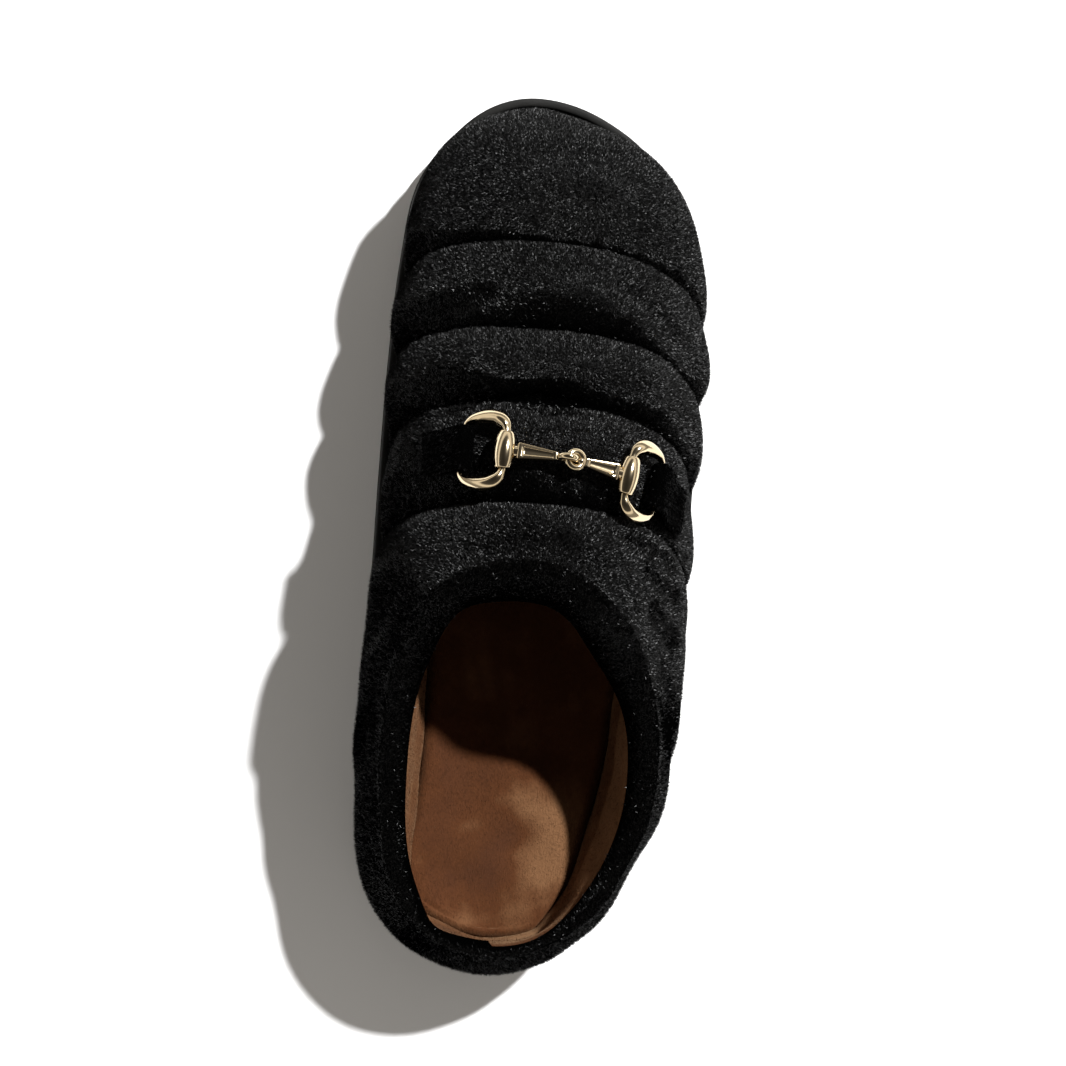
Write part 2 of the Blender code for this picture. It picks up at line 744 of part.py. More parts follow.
BAR_ROOT, BAR_ROOT_LENGTH = 0.0015, 0.0022
BAR_SIDES = 8
EYE_RADIUS, EYE_WIRE = 0.0022, 0.0008
EYE_STEPS, EYE_SIDES = 16, 8


def tube(path, radii, sides, closed, upright):
    """A round bar along a path; upright is the direction that stays across every ring of points."""
    path = np.asarray(path, float)
    if closed:
        tangent = unit(np.roll(path, -1, axis=0) - np.roll(path, 1, axis=0))
    else:
        tangent = unit(np.gradient(path, axis=0))
    side = unit(np.cross(tangent, upright))
    up = np.cross(side, tangent)
    angle = np.arange(sides) * 2 * math.pi / sides
    points, rows = Points(), []
    for p, s, u, r in zip(path, side, up, radii):
        rows.append(points.add(p + r * (np.cos(angle)[:, None] * s + np.sin(angle)[:, None] * u)))
    faces = []
    pairs = list(zip(rows, rows[1:])) + ([(rows[-1], rows[0])] if closed else [])
    for lower, upper in pairs:
        faces += band(lower, upper)
    if not closed:
        faces += [tuple(rows[0]), tuple(rows[-1])]
    return points.all(), faces


def ring_run(side):
    """How far round the puff a ring's outer bar lies from its inner one."""
    bar = on_puff(BIT_CENTRE + side * BIT_REACH[side], BIT_HEIGHT)
    runs = np.linspace(0.6, 1.2, 25) * RING_DEPTH
    outer = on_puff(BIT_CENTRE + side * (BIT_REACH[side] + runs), RING_OUTER_HEIGHT)
    return float(np.interp(RING_DEPTH, np.linalg.norm(outer - bar, axis=1), runs))


def bit_frames(side):
    """The link, a ring's bar, and the ways in along the arm, out along the ring and along the foot."""
    link = on_puff(BIT_CENTRE, LINK_HEIGHT)
    bar = on_puff(BIT_CENTRE + side * BIT_REACH[side], BIT_HEIGHT)
    outer = on_puff(BIT_CENTRE + side * (BIT_REACH[side] + ring_run(side)), RING_OUTER_HEIGHT)
    inward = unit(link - bar)
    foot = along_puff(BIT_CENTRE + side * (BIT_REACH[side] + RING_DEPTH / 2))
    foot = unit(foot - inward * np.dot(foot, inward))
    out = unit((outer - bar) - foot * np.dot(outer - bar, foot))
    return link, bar, inward, out, foot


def frame_matrix(origin, x_axis, y_axis):
    z_axis = np.cross(x_axis, y_axis)
    matrix = Matrix.Identity(4)
    for column, axis in enumerate((x_axis, y_axis, z_axis, origin)):
        for row in range(3):
            matrix[row][column] = float(axis[row])
    return matrix


def build_ring(name, side, material):
    _, bar, _, out, foot = bit_frames(side)
    half = RING_PATH
    whole = np.concatenate([half, (half * (1, -1, 1))[-2:0:-1]])
    path = np.column_stack([whole[:, :2], np.zeros(len(whole))])
    points, faces = tube(path, whole[:, 2], RING_SIDES, True, np.array([0, 0, 1.0]))
    ring = make_object(name, points, faces, material)
    ring.matrix_world = frame_matrix(bar, out, foot)
    return ring


def sleeve_shape():
    """A barrel with a bore along the foot, turned about the ring's bar."""
    profile = [(SLEEVE_LENGTH * a, r) for a, r in SLEEVE_PROFILE]
    profile += [(SLEEVE_LENGTH * a, SLEEVE_BORE) for a in (0.5, -0.5)]
    angle = np.arange(SLEEVE_SIDES) * 2 * math.pi / SLEEVE_SIDES
    points, rows, faces = Points(), [], []
    for along, radius in profile:
        ring = np.column_stack([radius * np.cos(angle), np.full(SLEEVE_SIDES, along), radius * np.sin(angle)])
        rows.append(points.add(ring))
    for lower, upper in zip(rows, rows[1:] + rows[:1]):
        faces += band(lower, upper)
    return points.all(), faces


def bar_shape(reach):
    """The tapered, eight-sided bar from the sleeve to the neck of the eye."""
    angle = (np.arange(BAR_SIDES) + 0.5) * 2 * math.pi / BAR_SIDES
    neck = reach - EYE_RADIUS * 1.5 - EYE_WIRE * 0.4  # inside the near side of the eye's wire
    rings = (
        # along, radius
        (BAR_START - BAR_ROOT_LENGTH, BAR_ROOT),
        (BAR_START, BAR_ROOT),
        (BAR_START, BAR_THICK),
        (reach - BAR_SHORT, BAR_THIN),
        (reach - BAR_SHORT, EYE_WIRE),
        (neck, EYE_WIRE),
    )
    points, rows = Points(), []
    for at, radius in rings:
        ring = np.column_stack([np.full(BAR_SIDES, at), radius * np.cos(angle), radius * np.sin(angle)])
        rows.append(points.add(ring))
    faces = [tuple(rows[0]), tuple(rows[-1])]
    for lower, upper in zip(rows, rows[1:]):
        faces += band(lower, upper)
    return points.all(), faces


def eye_shape(reach, flat):
    """The eye at the arm's end, lying flat or standing on edge."""
    centre = reach - EYE_RADIUS / 2
    angle = np.arange(EYE_STEPS) * 2 * math.pi / EYE_STEPS
    ahead, beside = EYE_RADIUS * np.cos(angle), EYE_RADIUS * np.sin(angle)
    level = np.zeros_like(angle)
    path = np.column_stack([centre + ahead, beside, level] if flat else [centre + ahead, level, beside])
    upright = np.array([0, 0, 1.0]) if flat else np.array([0, 1.0, 0])
    return tube(path, np.full(EYE_STEPS, EYE_WIRE), EYE_SIDES, True, upright)


def build_arm(name, side, material):
    link, bar, inward, _, foot = bit_frames(side)
    reach = float(np.linalg.norm(link - bar))
    place = frame_matrix(bar, inward, foot)
    arm = make_object(name, *sleeve_shape(), material)
    arm.matrix_world = place
    flat = side == LATERAL
    for part, shape in (("bar", bar_shape(reach)), ("eye", eye_shape(reach, flat))):
        piece = make_object(f"{name}_{part}", *shape, material)
        piece.matrix_world = place
        piece.hide_render = True
        piece.display_type = "WIRE"
        join = arm.modifiers.new(part, "BOOLEAN")
        join.operation = "UNION"
        join.object = piece
    return arm


# Straps: a velvet ribbon from the sole, round the ring's outer bar and back on itself

STRAP_THICK = 0.0015
STRAP_REST = 0.0014
STRAP_LAP = 0.0150
STRAP_LAP_STEPS = (0.0055, 0.0085, 0.0115)
STRAP_LAP_GAP = 0.0004
STRAP_LAP_RISE = 0.0008
STRAP_SLACK = 0.0006
STRAP_END_OVER_SOLE = 0.0035
STRAP_STEPS = 7
STRAP_FOLD_STEPS = 7
STRAP_ACROSS = (-0.5, -0.45, 0.0, 0.45, 0.5)
STRAP_EDGE = 0.6  # the cut edges are thinner by this share
STRAP_SQUARE = 0.0030  # the strap stays square to the ring's bar for this far


def strap_path(side):
    """Distance from the ring's bar outwards and height, along the ribbon's middle."""
    bend = RING_WIRE + STRAP_SLACK + STRAP_THICK / 2
    outer = BIT_REACH[side] + ring_run(side)
    row_end = LATERAL_ROW_END if side == LATERAL else -MEDIAL_ROW_END
    reach = row_end - side * BIT_CENTRE - outer - STRAP_END_OVER_SOLE
    low = [(x, STRAP_REST) for x in np.linspace(reach, STRAP_LAP, STRAP_STEPS)]
    low += [(x, STRAP_REST) for x in STRAP_LAP_STEPS[::-1]]
    turn = np.radians(np.linspace(-70, -290, STRAP_FOLD_STEPS))
    fold = [(bend * math.cos(t), RING_OUTER_HEIGHT + bend * math.sin(t)) for t in turn]
    lap_height = STRAP_REST + STRAP_THICK + STRAP_LAP_GAP
    lap = [(STRAP_LAP_STEPS[0], lap_height + STRAP_LAP_RISE)]
    lap += [(x, lap_height) for x in (*STRAP_LAP_STEPS[1:], STRAP_LAP)]
    path = np.array(low + fold + lap)
    path[:, 0] += outer
    return path


def strap_point(side, out, across, height):
    """A place on a strap, which lies flat across its width; near the ring it follows the ring's bar."""
    _, bar, _, _, foot = bit_frames(side)
    along = along_puff(BIT_CENTRE + side * out)
    ring = BIT_REACH[side] + ring_run(side)
    share = ease(out, ring + STRAP_SQUARE, ring + STRAP_LAP)[:, None]
    width = unit(foot * (1 - share) + along * share)
    drift = np.dot(on_puff(BIT_CENTRE + side * ring, RING_OUTER_HEIGHT) - bar, foot)
    return on_puff(BIT_CENTRE + side * out, height) - foot * drift * (1 - share) + width * across[:, None]


def build_strap(name, side, material):
    path = strap_path(side)
    tangent = unit(np.gradient(path, axis=0))
    outward = np.column_stack([-tangent[:, 1], tangent[:, 0]])
    points, faces, sections = Points(), [], []
    across = np.array(STRAP_ACROSS)
    thin = np.where(np.abs(across) > 0.48, STRAP_EDGE, 1.0) * STRAP_THICK / 2
    for place, out in zip(path, outward):
        section = []
        for sign, order in ((1, slice(None)), (-1, slice(None, None, -1))):
            off = place[None, :] + sign * out[None, :] * thin[order, None]
            section.append(strap_point(side, off[:, 0], across[order] * STRAP_WIDTH, off[:, 1]))
        sections.append(points.add(np.concatenate(section)))
    faces += [tuple(sections[0]), tuple(sections[-1])]
    for lower, upper in zip(sections, sections[1:]):
        faces += band(lower, upper)
    return make_object(name, points.all(), faces, material)


def main():
    for thing in list(bpy.data.objects):
        bpy.data.objects.remove(thing, do_unlink=True)
    plush = make_material("black_plush", (0.012, 0.012, 0.013), 0.75)
    velvet = make_material("black_velvet", (0.008, 0.008, 0.009), 0.85)
    caramel = make_material("caramel_plush", (0.32, 0.16, 0.07), 0.85)
    rubber = make_material("black_rubber", (0.025, 0.025, 0.024), 0.55)
    gilt = make_material("pale_gilt", (0.83, 0.70, 0.47), 0.18, 1.0)
    build_outsole(rubber)
    build_insole(caramel)
    build_upper(plush)
    for word, side in (("medial", MEDIAL), ("lateral", LATERAL)):
        build_ring(f"bit_ring_{word}", side, gilt)
        build_arm(f"bit_arm_{word}", side, gilt)
        build_strap(f"strap_{word}", side, velvet)


main()
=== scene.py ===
import math

import bmesh
import bpy
import numpy as np
from mathutils import Matrix, Vector


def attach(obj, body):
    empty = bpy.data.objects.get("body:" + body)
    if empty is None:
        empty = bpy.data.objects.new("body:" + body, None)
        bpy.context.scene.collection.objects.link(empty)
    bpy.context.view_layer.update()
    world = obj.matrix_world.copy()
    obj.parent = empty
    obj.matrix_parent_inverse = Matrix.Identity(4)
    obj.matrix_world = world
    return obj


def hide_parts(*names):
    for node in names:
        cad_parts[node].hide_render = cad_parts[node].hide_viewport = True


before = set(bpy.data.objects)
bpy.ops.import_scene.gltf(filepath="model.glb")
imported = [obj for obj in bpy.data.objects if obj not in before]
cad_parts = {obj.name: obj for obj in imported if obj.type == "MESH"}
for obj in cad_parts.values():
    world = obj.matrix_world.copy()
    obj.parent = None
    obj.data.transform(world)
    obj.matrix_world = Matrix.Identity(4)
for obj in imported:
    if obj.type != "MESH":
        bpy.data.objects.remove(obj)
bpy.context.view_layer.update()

# Outsole: a cup sole moulded in one shot of charcoal foam rubber, with a sunk line round its wall.
# The wall stands up as a lip round the toe, bars are left between grooves in the tread, and the upper
# is cemented down on the shelf inside the wall.

SOLE_LENGTH = 0.2690
HALF_LENGTH = SOLE_LENGTH / 2
SHOE_OUTLINE = np.array([
    # along,   medial,  lateral
    (0.1345, 0.0070, -0.0070), (0.1290, 0.0245, 0.0150), (0.1200, 0.0340, 0.0285),
    (0.1060, 0.0430, 0.0374), (0.0860, 0.0477, 0.0448), (0.0560, 0.0496, 0.0530),
    (0.0200, 0.0502, 0.0528), (-0.0250, 0.0503, 0.0527), (-0.0600, 0.0502, 0.0481),
    (-0.0900, 0.0498, 0.0393), (-0.1100, 0.0467, 0.0297), (-0.1220, 0.0378, 0.0212),
    (-0.1300, 0.0246, 0.0140), (-0.1345, 0.0060, -0.0060),
])
SOLE_HEIGHTS = np.array([
    # along, underside, top
    (-0.1345, 0.0035, 0.0205), (-0.1200, 0.0000, 0.0200), (-0.0500, 0.0000, 0.0185),
    (0.0200, 0.0000, 0.0162), (0.0720, 0.0000, 0.0160), (0.1000, 0.0022, 0.0172),
    (0.1345, 0.0085, 0.0212),
])
ARCH_RISE, ARCH_EASE = 0.0026, 0.0120
ARCH_BACK, ARCH_FRONT = -0.0420, -0.0040
SOLE_INSET = 0.0024
LIP_START, LIP_FULL, LIP_HEIGHT = 0.0800, 0.1180, 0.0070
LIP_STEP = 0.0006  # the lip is set back from the band below it
LIP_STEP_SHARES = (0.5, 0.6)  # shares of the wall's height between which it steps back
SHELF_INSET = 0.0038
BORDER_WIDTH, GROOVE_DRAFT = 0.0095, 0.0006
TREAD_DEPTH, TREAD_GROOVE_WIDTH = 0.0022, 0.0060
TREAD_GROOVES = (-0.1130, -0.0960, -0.0790, -0.0620, 0.0080, 0.0250, 0.0420, 0.0590, 0.0760)
TREAD_COLUMNS, TREAD_MARGIN = 72, 0.006
SIPE_DEPTH, SIPE_PITCH, SIPE_WAVE, SIPE_CUT = 0.0007, 0.0052, 0.0016, 0.8
SIPE_START, SIPE_END = (0.04, 0.07), (0.93, 0.96)  # shares of the tread's width
SOLE_STATION_GAP = 0.0022
SOLE_TIP_STEPS = 26
SOLE_WALL = (
    # share of the wall's height, inset
    (0.00, 0.00260), (0.03, 0.00170), (0.08, 0.00095), (0.15, 0.00045), (0.24, 0.00010),
    (0.32, 0.00000), (0.41, 0.00000), (0.435, 0.00012), (0.45, 0.00050), (0.47, 0.00090),
    (0.54, 0.00095), (0.56, 0.00060), (0.575, 0.00025), (0.60, 0.00012), (0.70, 0.00010),
    (0.80, 0.00010), (0.90, 0.00014),
)
LIP_ROUND = (
    # down from the top, inset
    (0.00050, 0.00020), (0.00022, 0.00038), (0.00004, 0.00070), (0.00000, 0.00130), (0.00006, 0.00210),
    (0.00030, 0.00260), (0.00070, 0.00285),
)
SHELF_COLUMNS = 6
RUBBER_COLOUR = (0.0085, 0.0085, 0.0081)
RUBBER_WORN = (0.0150, 0.0146, 0.0138)


def smooth_through(positions, values):
    """A smooth curve through a table's rows that never swings past them."""
    x, y = np.asarray(positions, float), np.asarray(values, float)
    if x[0] > x[-1]:
        x, y = x[::-1], y[::-1]
    run = np.diff(x)
    slope = np.diff(y) / run
    tangent = np.empty_like(y)
    tangent[0], tangent[-1] = slope[0], slope[-1]
    mean = (slope[:-1] * run[1:] + slope[1:] * run[:-1]) / (run[1:] + run[:-1])
    limit = 3 * np.minimum(np.abs(slope[:-1]), np.abs(slope[1:]))
    tangent[1:-1] = np.where(slope[:-1] * slope[1:] > 0, np.clip(mean, -limit, limit), 0)

    def read(at):
        at = np.clip(np.asarray(at, float), x[0], x[-1])
        i = np.clip(np.searchsorted(x, at) - 1, 0, len(run) - 1)
        t = (at - x[i]) / run[i]
        return (
            (2 * t**3 - 3 * t**2 + 1) * y[i]
            + (t**3 - 2 * t**2 + t) * run[i] * tangent[i]
            + (3 * t**2 - 2 * t**3) * y[i + 1]
            + (t**3 - t**2) * run[i] * tangent[i + 1]
        )

    return read


def curves(table):
    """One smooth curve for each column of a table, read by the table's first column."""
    return [smooth_through(table[:, 0], column) for column in table.T[1:]]


def ease(value, start, end):
    """0 before start, 1 after end, and a soft step between."""
    t = np.clip((np.asarray(value, float) - start) / (end - start), 0, 1)
    return t * t * (3 - 2 * t)


def unit(v):
    v = np.asarray(v, float)
    return v / np.maximum(np.linalg.norm(v, axis=-1, keepdims=True), 1e-12)


def turn_of(along):
    """The outline's angle at a place along the foot: 0 at the toe tip, pi at the heel tip."""
    return np.arccos(np.clip(np.asarray(along, float) / HALF_LENGTH, -1, 1))


medial_edge = smooth_through(turn_of(SHOE_OUTLINE[:, 0]), -SHOE_OUTLINE[:, 1])
lateral_edge = smooth_through(turn_of(SHOE_OUTLINE[:, 0]), SHOE_OUTLINE[:, 2])


def bare_outline(turn):
    """Turn runs from 0 at the toe to pi down the lateral side, and to -pi down the medial side."""
    turn = np.asarray(turn, float)
    across = np.where(turn >= 0, lateral_edge(np.abs(turn)), medial_edge(np.abs(turn)))
    return np.stack([across, HALF_LENGTH * np.cos(turn)], axis=-1)


def outline(turn, inset=0.0):
    """Points of the plan outline, moved in by inset, as (across, along)."""
    step = 0.004
    turn = np.asarray(turn, float)
    ahead, behind = turn + step, turn - step
    ahead = np.where(ahead > math.pi, ahead - 2 * math.pi, ahead)
    behind = np.where(behind < -math.pi, behind + 2 * math.pi, behind)
    tangent = unit(bare_outline(ahead) - bare_outline(behind))
    outward = np.stack([-tangent[..., 1], tangent[..., 0]], axis=-1)
    inset = np.asarray(inset, float)[..., None] if np.ndim(inset) else inset
    return bare_outline(turn) - outward * inset


underside_height, sole_top = curves(SOLE_HEIGHTS)


def ground(along):
    """Underside of the sole, raised under the arch of the foot."""
    rise = ease(along, ARCH_BACK - ARCH_EASE, ARCH_BACK)
    fall = ease(along, ARCH_FRONT, ARCH_FRONT + ARCH_EASE)
    return underside_height(along) + ARCH_RISE * (rise * (1 - fall))


def in_groove(along):
    """Whether a place along the sole lies on the floor of a tread groove."""
    reach = TREAD_GROOVE_WIDTH / 2 - GROOVE_DRAFT / 2
    return np.min(np.abs(np.asarray(along)[..., None] - np.array(TREAD_GROOVES)), axis=-1) < reach


def sole_stations():
    """Places along the sole, closer at its round ends, with both edges of every tread groove."""
    start, end = min(TREAD_GROOVES) - TREAD_MARGIN, max(TREAD_GROOVES) + TREAD_MARGIN
    places = list(np.arange(start, end, SOLE_STATION_GAP))
    edges = []
    for middle in TREAD_GROOVES:
        for reach in (TREAD_GROOVE_WIDTH / 2, TREAD_GROOVE_WIDTH / 2 - GROOVE_DRAFT):
            edges += [middle - reach, middle + reach]
    places = [p for p in places if min(abs(p - e) for e in edges) > GROOVE_DRAFT] + edges
    toe, heel = max(places), min(places)
    quarter = np.linspace(0, math.pi / 2, SOLE_TIP_STEPS + 1)[1:-1]
    places += [toe + (HALF_LENGTH - toe) * math.cos(q) for q in quarter]
    places += [heel - (HALF_LENGTH + heel) * math.cos(q) for q in quarter]
    return np.array(sorted(places, reverse=True))


def woven(table, closed=False):
    """Quads between neighbouring rows and columns of a table of point numbers."""
    table = np.asarray(table)
    if closed:
        table = np.concatenate([table, table[:, :1]], axis=1)
    corners = (table[:-1, :-1], table[:-1, 1:], table[1:, 1:], table[1:, :-1])
    return np.stack(corners, axis=-1).reshape(-1, 4)


def numbered(rows, columns, first=0):
    """A table of point numbers, counted on row by row."""
    return first + np.arange(rows * columns).reshape(rows, columns)


def between(count):
    """Even shares from 0 to 1, without the two ends."""
    return np.linspace(0, 1, count + 2)[1:-1]


def span_cap(ring, numbers, first, shares, height):
    """Fills a ring from side to side: rows of points along it, drawn together at toe and heel."""
    half = len(ring) // 2
    lateral, medial = ring[1:half], ring[:half:-1]
    rows, table = [], [numbers[1:half]]
    for share in shares:
        row = lateral + (medial - lateral) * share
        row[:, 2] = height(row, share)
        table.append(first + len(rows) * (half - 1) + np.arange(half - 1))
        rows.append(row)
    table.append(numbers[:half:-1])
    tips = [(numbers[0], a[0], b[0]) for a, b in zip(table, table[1:])]
    tips += [(numbers[half], b[-1], a[-1]) for a, b in zip(table, table[1:])]
    return np.concatenate(rows), woven(table), tips


def lay_mesh(name, points, quads, triangles=()):
    """A smooth-shaded piece from arrays of points, four-cornered faces and three-cornered faces."""
    quads = np.asarray(quads, np.int32).reshape(-1, 4)
    triangles = np.asarray(triangles, np.int32).reshape(-1, 3)
    corners = np.concatenate([quads.ravel(), triangles.ravel()])
    starts = np.concatenate([np.arange(len(quads)) * 4, quads.size + np.arange(len(triangles)) * 3])
    mesh = bpy.data.meshes.new(name)
    mesh.vertices.add(len(points))
    mesh.vertices.foreach_set("co", np.asarray(points, np.float32).ravel())
    mesh.loops.add(len(corners))
    mesh.loops.foreach_set("vertex_index", corners)
    mesh.polygons.add(len(starts))
    mesh.polygons.foreach_set("loop_start", starts.astype(np.int32))
    mesh.update(calc_edges=True)
    mesh.shade_smooth()
    thing = bpy.data.objects.new(name, mesh)
    bpy.context.scene.collection.objects.link(thing)
    return thing


def closed_mesh(name, points, quads, triangles=(), sharp_angle=None):
    """A closed piece with its faces turned outwards; edges sharper than the angle stay crisp."""
    thing = lay_mesh(name, points, quads, triangles)
    work = bmesh.new()
    work.from_mesh(thing.data)
    bmesh.ops.recalc_face_normals(work, faces=work.faces)
    if work.calc_volume(signed=True) < 0:
        bmesh.ops.reverse_faces(work, faces=work.faces)
    work.to_mesh(thing.data)
    work.free()
    if sharp_angle:
        thing.data.set_sharp_from_angle(angle=math.radians(sharp_angle))
    return thing


def fit(piece, material, slot_name, *nodes):
    """Gives a piece its material and its place on the shoe; nodes are the solids that it stands for."""
    piece.data.materials.append(material)
    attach(piece, "root")
    if nodes:
        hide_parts(*nodes)


def start_material(name, colour, roughness, specular=0.5):
    """A plain material, and its node tree and shader for what is added to it."""
    material = bpy.data.materials.new(name)
    material.use_nodes = True
    tree = material.node_tree
    shader = tree.nodes["Principled BSDF"]
    shader.inputs["Base Color"].default_value = (*colour, 1.0)
    shader.inputs["Roughness"].default_value = roughness
    shader.inputs["Specular IOR Level"].default_value = specular
    return material, tree, shader


def noise_node(tree, scale, detail=2.0, stretch=(1, 1, 1)):
    """Noise in the shoe's own metres; stretch draws it out along an axis."""
    place = tree.nodes.new("ShaderNodeTexCoord")
    mapping = tree.nodes.new("ShaderNodeMapping")
    mapping.inputs["Scale"].default_value = stretch
    texture = tree.nodes.new("ShaderNodeTexNoise")
    texture.inputs["Scale"].default_value = scale
    texture.inputs["Detail"].default_value = detail
    tree.links.new(place.outputs["Object"], mapping.inputs["Vector"])
    tree.links.new(mapping.outputs["Vector"], texture.inputs["Vector"])
    return texture


def ramp_node(tree, source, *stops):
    """Turns a noise into colours: stops are (place, colour)."""
    ramp = tree.nodes.new("ShaderNodeValToRGB")
    for i, (place, colour) in enumerate(stops):
        element = ramp.color_ramp.elements[i] if i < 2 else ramp.color_ramp.elements.new(place)
        element.position = place
        element.color = (*colour, 1.0)
    tree.links.new(source, ramp.inputs["Fac"])
    return ramp


def grain(tree, shader, scale, detail, strength, distance, stretch=(1, 1, 1)):
    """A fine bump of noise over the whole piece."""
    noise = noise_node(tree, scale, detail, stretch)
    bump = tree.nodes.new("ShaderNodeBump")
    bump.inputs["Strength"].default_value = strength
    bump.inputs["Distance"].default_value = distance
    tree.links.new(noise.outputs["Fac"], bump.inputs["Height"])
    tree.links.new(bump.outputs["Normal"], shader.inputs["Normal"])


def rubber_finish():
    """Matt moulded rubber with a fine pebble and a slightly paler bloom in patches."""
    material, tree, shader = start_material("charcoal_rubber", RUBBER_COLOUR, roughness=0.62, specular=0.1)
    bloom = noise_node(tree, scale=90, detail=4)
    tint = ramp_node(tree, bloom.outputs["Fac"], (0.38, RUBBER_COLOUR), (0.75, RUBBER_WORN))
    tree.links.new(tint.outputs["Color"], shader.inputs["Base Color"])
    grain(tree, shader, scale=1500, detail=3, strength=0.35, distance=0.0003)
    return material


def build_outsole():
    down = turn_of(sole_stations())
    turns = np.concatenate([[0.0], down, [math.pi], -down[::-1]])
    along = HALF_LENGTH * np.cos(turns)
    at_lip = ease(along, LIP_START, LIP_FULL)
    inset = SOLE_INSET * (1 - at_lip)
    low, high = ground(along), sole_top(along)
    top = high + LIP_HEIGHT * ease(along, LIP_START, HALF_LENGTH)

    def ring(deeper, height):
        return np.column_stack([outline(turns, inset + deeper), height])

    def tread(row, share):
        wave = row[:, 0] + SIPE_WAVE * np.sin(row[:, 1] * 2 * math.pi / SIPE_PITCH)
        in_border = ease(share, *SIPE_START) * (1 - ease(share, *SIPE_END))
        sipe = (np.cos(wave * 2 * math.pi / SIPE_PITCH) > SIPE_CUT) * SIPE_DEPTH * in_border
        return ground(row[:, 1]) + np.where(in_groove(row[:, 1]), TREAD_DEPTH, sipe)

    def shelf(row, share):
        return sole_top(row[:, 1])

    inner_tread = ring(BORDER_WIDTH + GROOVE_DRAFT, low + TREAD_DEPTH * in_groove(along))
    rings = [inner_tread, ring(BORDER_WIDTH, low)]
    for share, sunk in SOLE_WALL:
        step_back = LIP_STEP * at_lip * ease(share, *LIP_STEP_SHARES)
        rings.append(ring(sunk + step_back, low + (high - low) * share))
    rings += [ring(sunk + LIP_STEP * at_lip, top - drop) for drop, sunk in LIP_ROUND]
    rings.append(ring(SHELF_INSET + LIP_STEP * at_lip, high))
    numbers = numbered(len(rings), len(turns))
    treads, tread_quads, tread_tips = span_cap(
        rings[0], numbers[0], numbers.size, between(TREAD_COLUMNS), tread
    )
    shelves, shelf_quads, shelf_tips = span_cap(
        rings[-1], numbers[-1], numbers.size + len(treads), between(SHELF_COLUMNS), shelf
    )
    return closed_mesh(
        "rubber_outsole",
        np.concatenate(rings + [treads, shelves]),
        np.concatenate([woven(numbers, closed=True), tread_quads, shelf_quads]),
        tread_tips + shelf_tips,
        sharp_angle=38,
    )


fit(build_outsole(), rubber_finish(), "rubber", "outsole")

# Footbed: a foam pad covered with caramel short-pile plush, dished for the foot and loose inside the wall.
# Its pile is brushed one way and another by use; the lighter and darker patches this leaves are painted into
# its colour as sheen and shade.

WALL_THICKNESS = np.array([
    # along, medial, lateral
    (-0.1345, 0.0090, 0.0090), (-0.1100, 0.0100, 0.0085), (-0.0750, 0.0150, 0.0120),
    (-0.0450, 0.0155, 0.0155), (-0.0160, 0.0120, 0.0145), (0.0200, 0.0090, 0.0095),
    (0.1345, 0.0090, 0.0090),
])
HEEL_THIN, HEEL_THIN_FADE = 0.0055, (-0.128, -0.090)  # the heel's foam is pressed thin
FEATHER_INSET = 0.0050  # the upper meets the sole this far inside the plan outline
SEAT_GAP = 0.0003
FOOTBED_HEIGHT, FOOTBED_GAP = 0.0085, 0.0006
FOOTBED_TOP = 0.034  # above all of its pile
FOOTBED_STATIONS = 150
FOOTBED_EDGE = (
    # inset, share of height
    (0.0000, 0.00), (0.0000, 0.30), (0.0001, 0.55), (0.0005, 0.74), (0.0012, 0.88), (0.0022, 0.96),
    (0.0034, 1.00),
)
FOOTBED_DISH = np.array([
    # share of the width, share of the height
    (0.00, 1.00), (0.12, 0.95), (0.30, 0.88), (0.50, 0.86), (0.70, 0.88), (0.88, 0.95), (1.00, 1.00),
])
FOOTBED_COLUMNS = 64
FOOTBED_UNEVEN, FOOTBED_WAVE = 0.00035, 0.022
UNEVEN_START, UNEVEN_END = (0, 0.15), (0.85, 1)  # shares of the width: its edges stay even
FOOTBED_PILE = 80000
FOOTBED_PILE_END = 0.020  # pile is laid as far under the vamp as can be seen
PILE_LENGTH, PILE_WIDTH = 0.0007, 0.00012
PILE_LEAN, PILE_SPREAD, PILE_TWIST = 15, 8, 40  # degrees
PILE_SCATTER, PILE_FINE = 0.45, 0.10  # how much headings and shades vary from blade to blade
BLADE_LENGTHS, BLADE_WIDTHS = (0.72, 1.18), (0.75, 1.25)  # shares of the length and width asked for
BLADE_ROOT = 0.25  # a blade's foot is sunk by this share of its width
BLADE_CELL = np.array([(0.2, 0.2), (0.8, 0.2), (0.5, 0.8)])  # a blade's corners in its cell of the map
RIPPLE_LENGTHS = (0.6, 1.4)
NAP_TURN, NAP_WAVE = 0.5, 0.030  # how far its heading wanders, and over what distance
BLOTCH, BLOTCH_WAVE = 0.12, 0.020  # its shade does so too, in blotches and more finely
MOTTLE, MOTTLE_WAVE = 0.07, 0.006
FINE_WAVE, FINE_WAVES = 0.0018, 16
BRUSHED_AND_SHEEN = np.array([
    # across,  along,  radius, heading in degrees from the toe, painted sheen (lighter) and shade (darker)
    (0.0135, -0.0900, 0.0075, 60, 0.66),
    (0.0112, -0.1014, 0.0060, 50, 0.62),
    (0.0041, -0.0988, 0.0040, 60, 0.30),
    (0.0097, -0.1077, 0.0045, 60, 0.30),
    (0.0028, -0.1156, 0.0060, 100, 0.22),
    (0.0056, -0.0838, 0.0060, 80, 0.30),
    (-0.0035, -0.0787, 0.0080, 90, 0.18),
    (-0.0092, -0.1052, 0.0085, 200, -0.34),
    (-0.0002, -0.0910, 0.0055, 190, -0.30),
    (-0.0228, -0.0974, 0.0080, 180, -0.26),
    (-0.0164, -0.0721, 0.0140, 170, -0.28),
    (-0.0040, -0.0200, 0.0300, 180, 0.00),
])
LATERAL_PAINTED_LIGHT, LATERAL_FADE = 0.50, (0.010, 0.022)  # painted light: the lining's colour is made lighter on the outer side, whose inner wall stands in shade
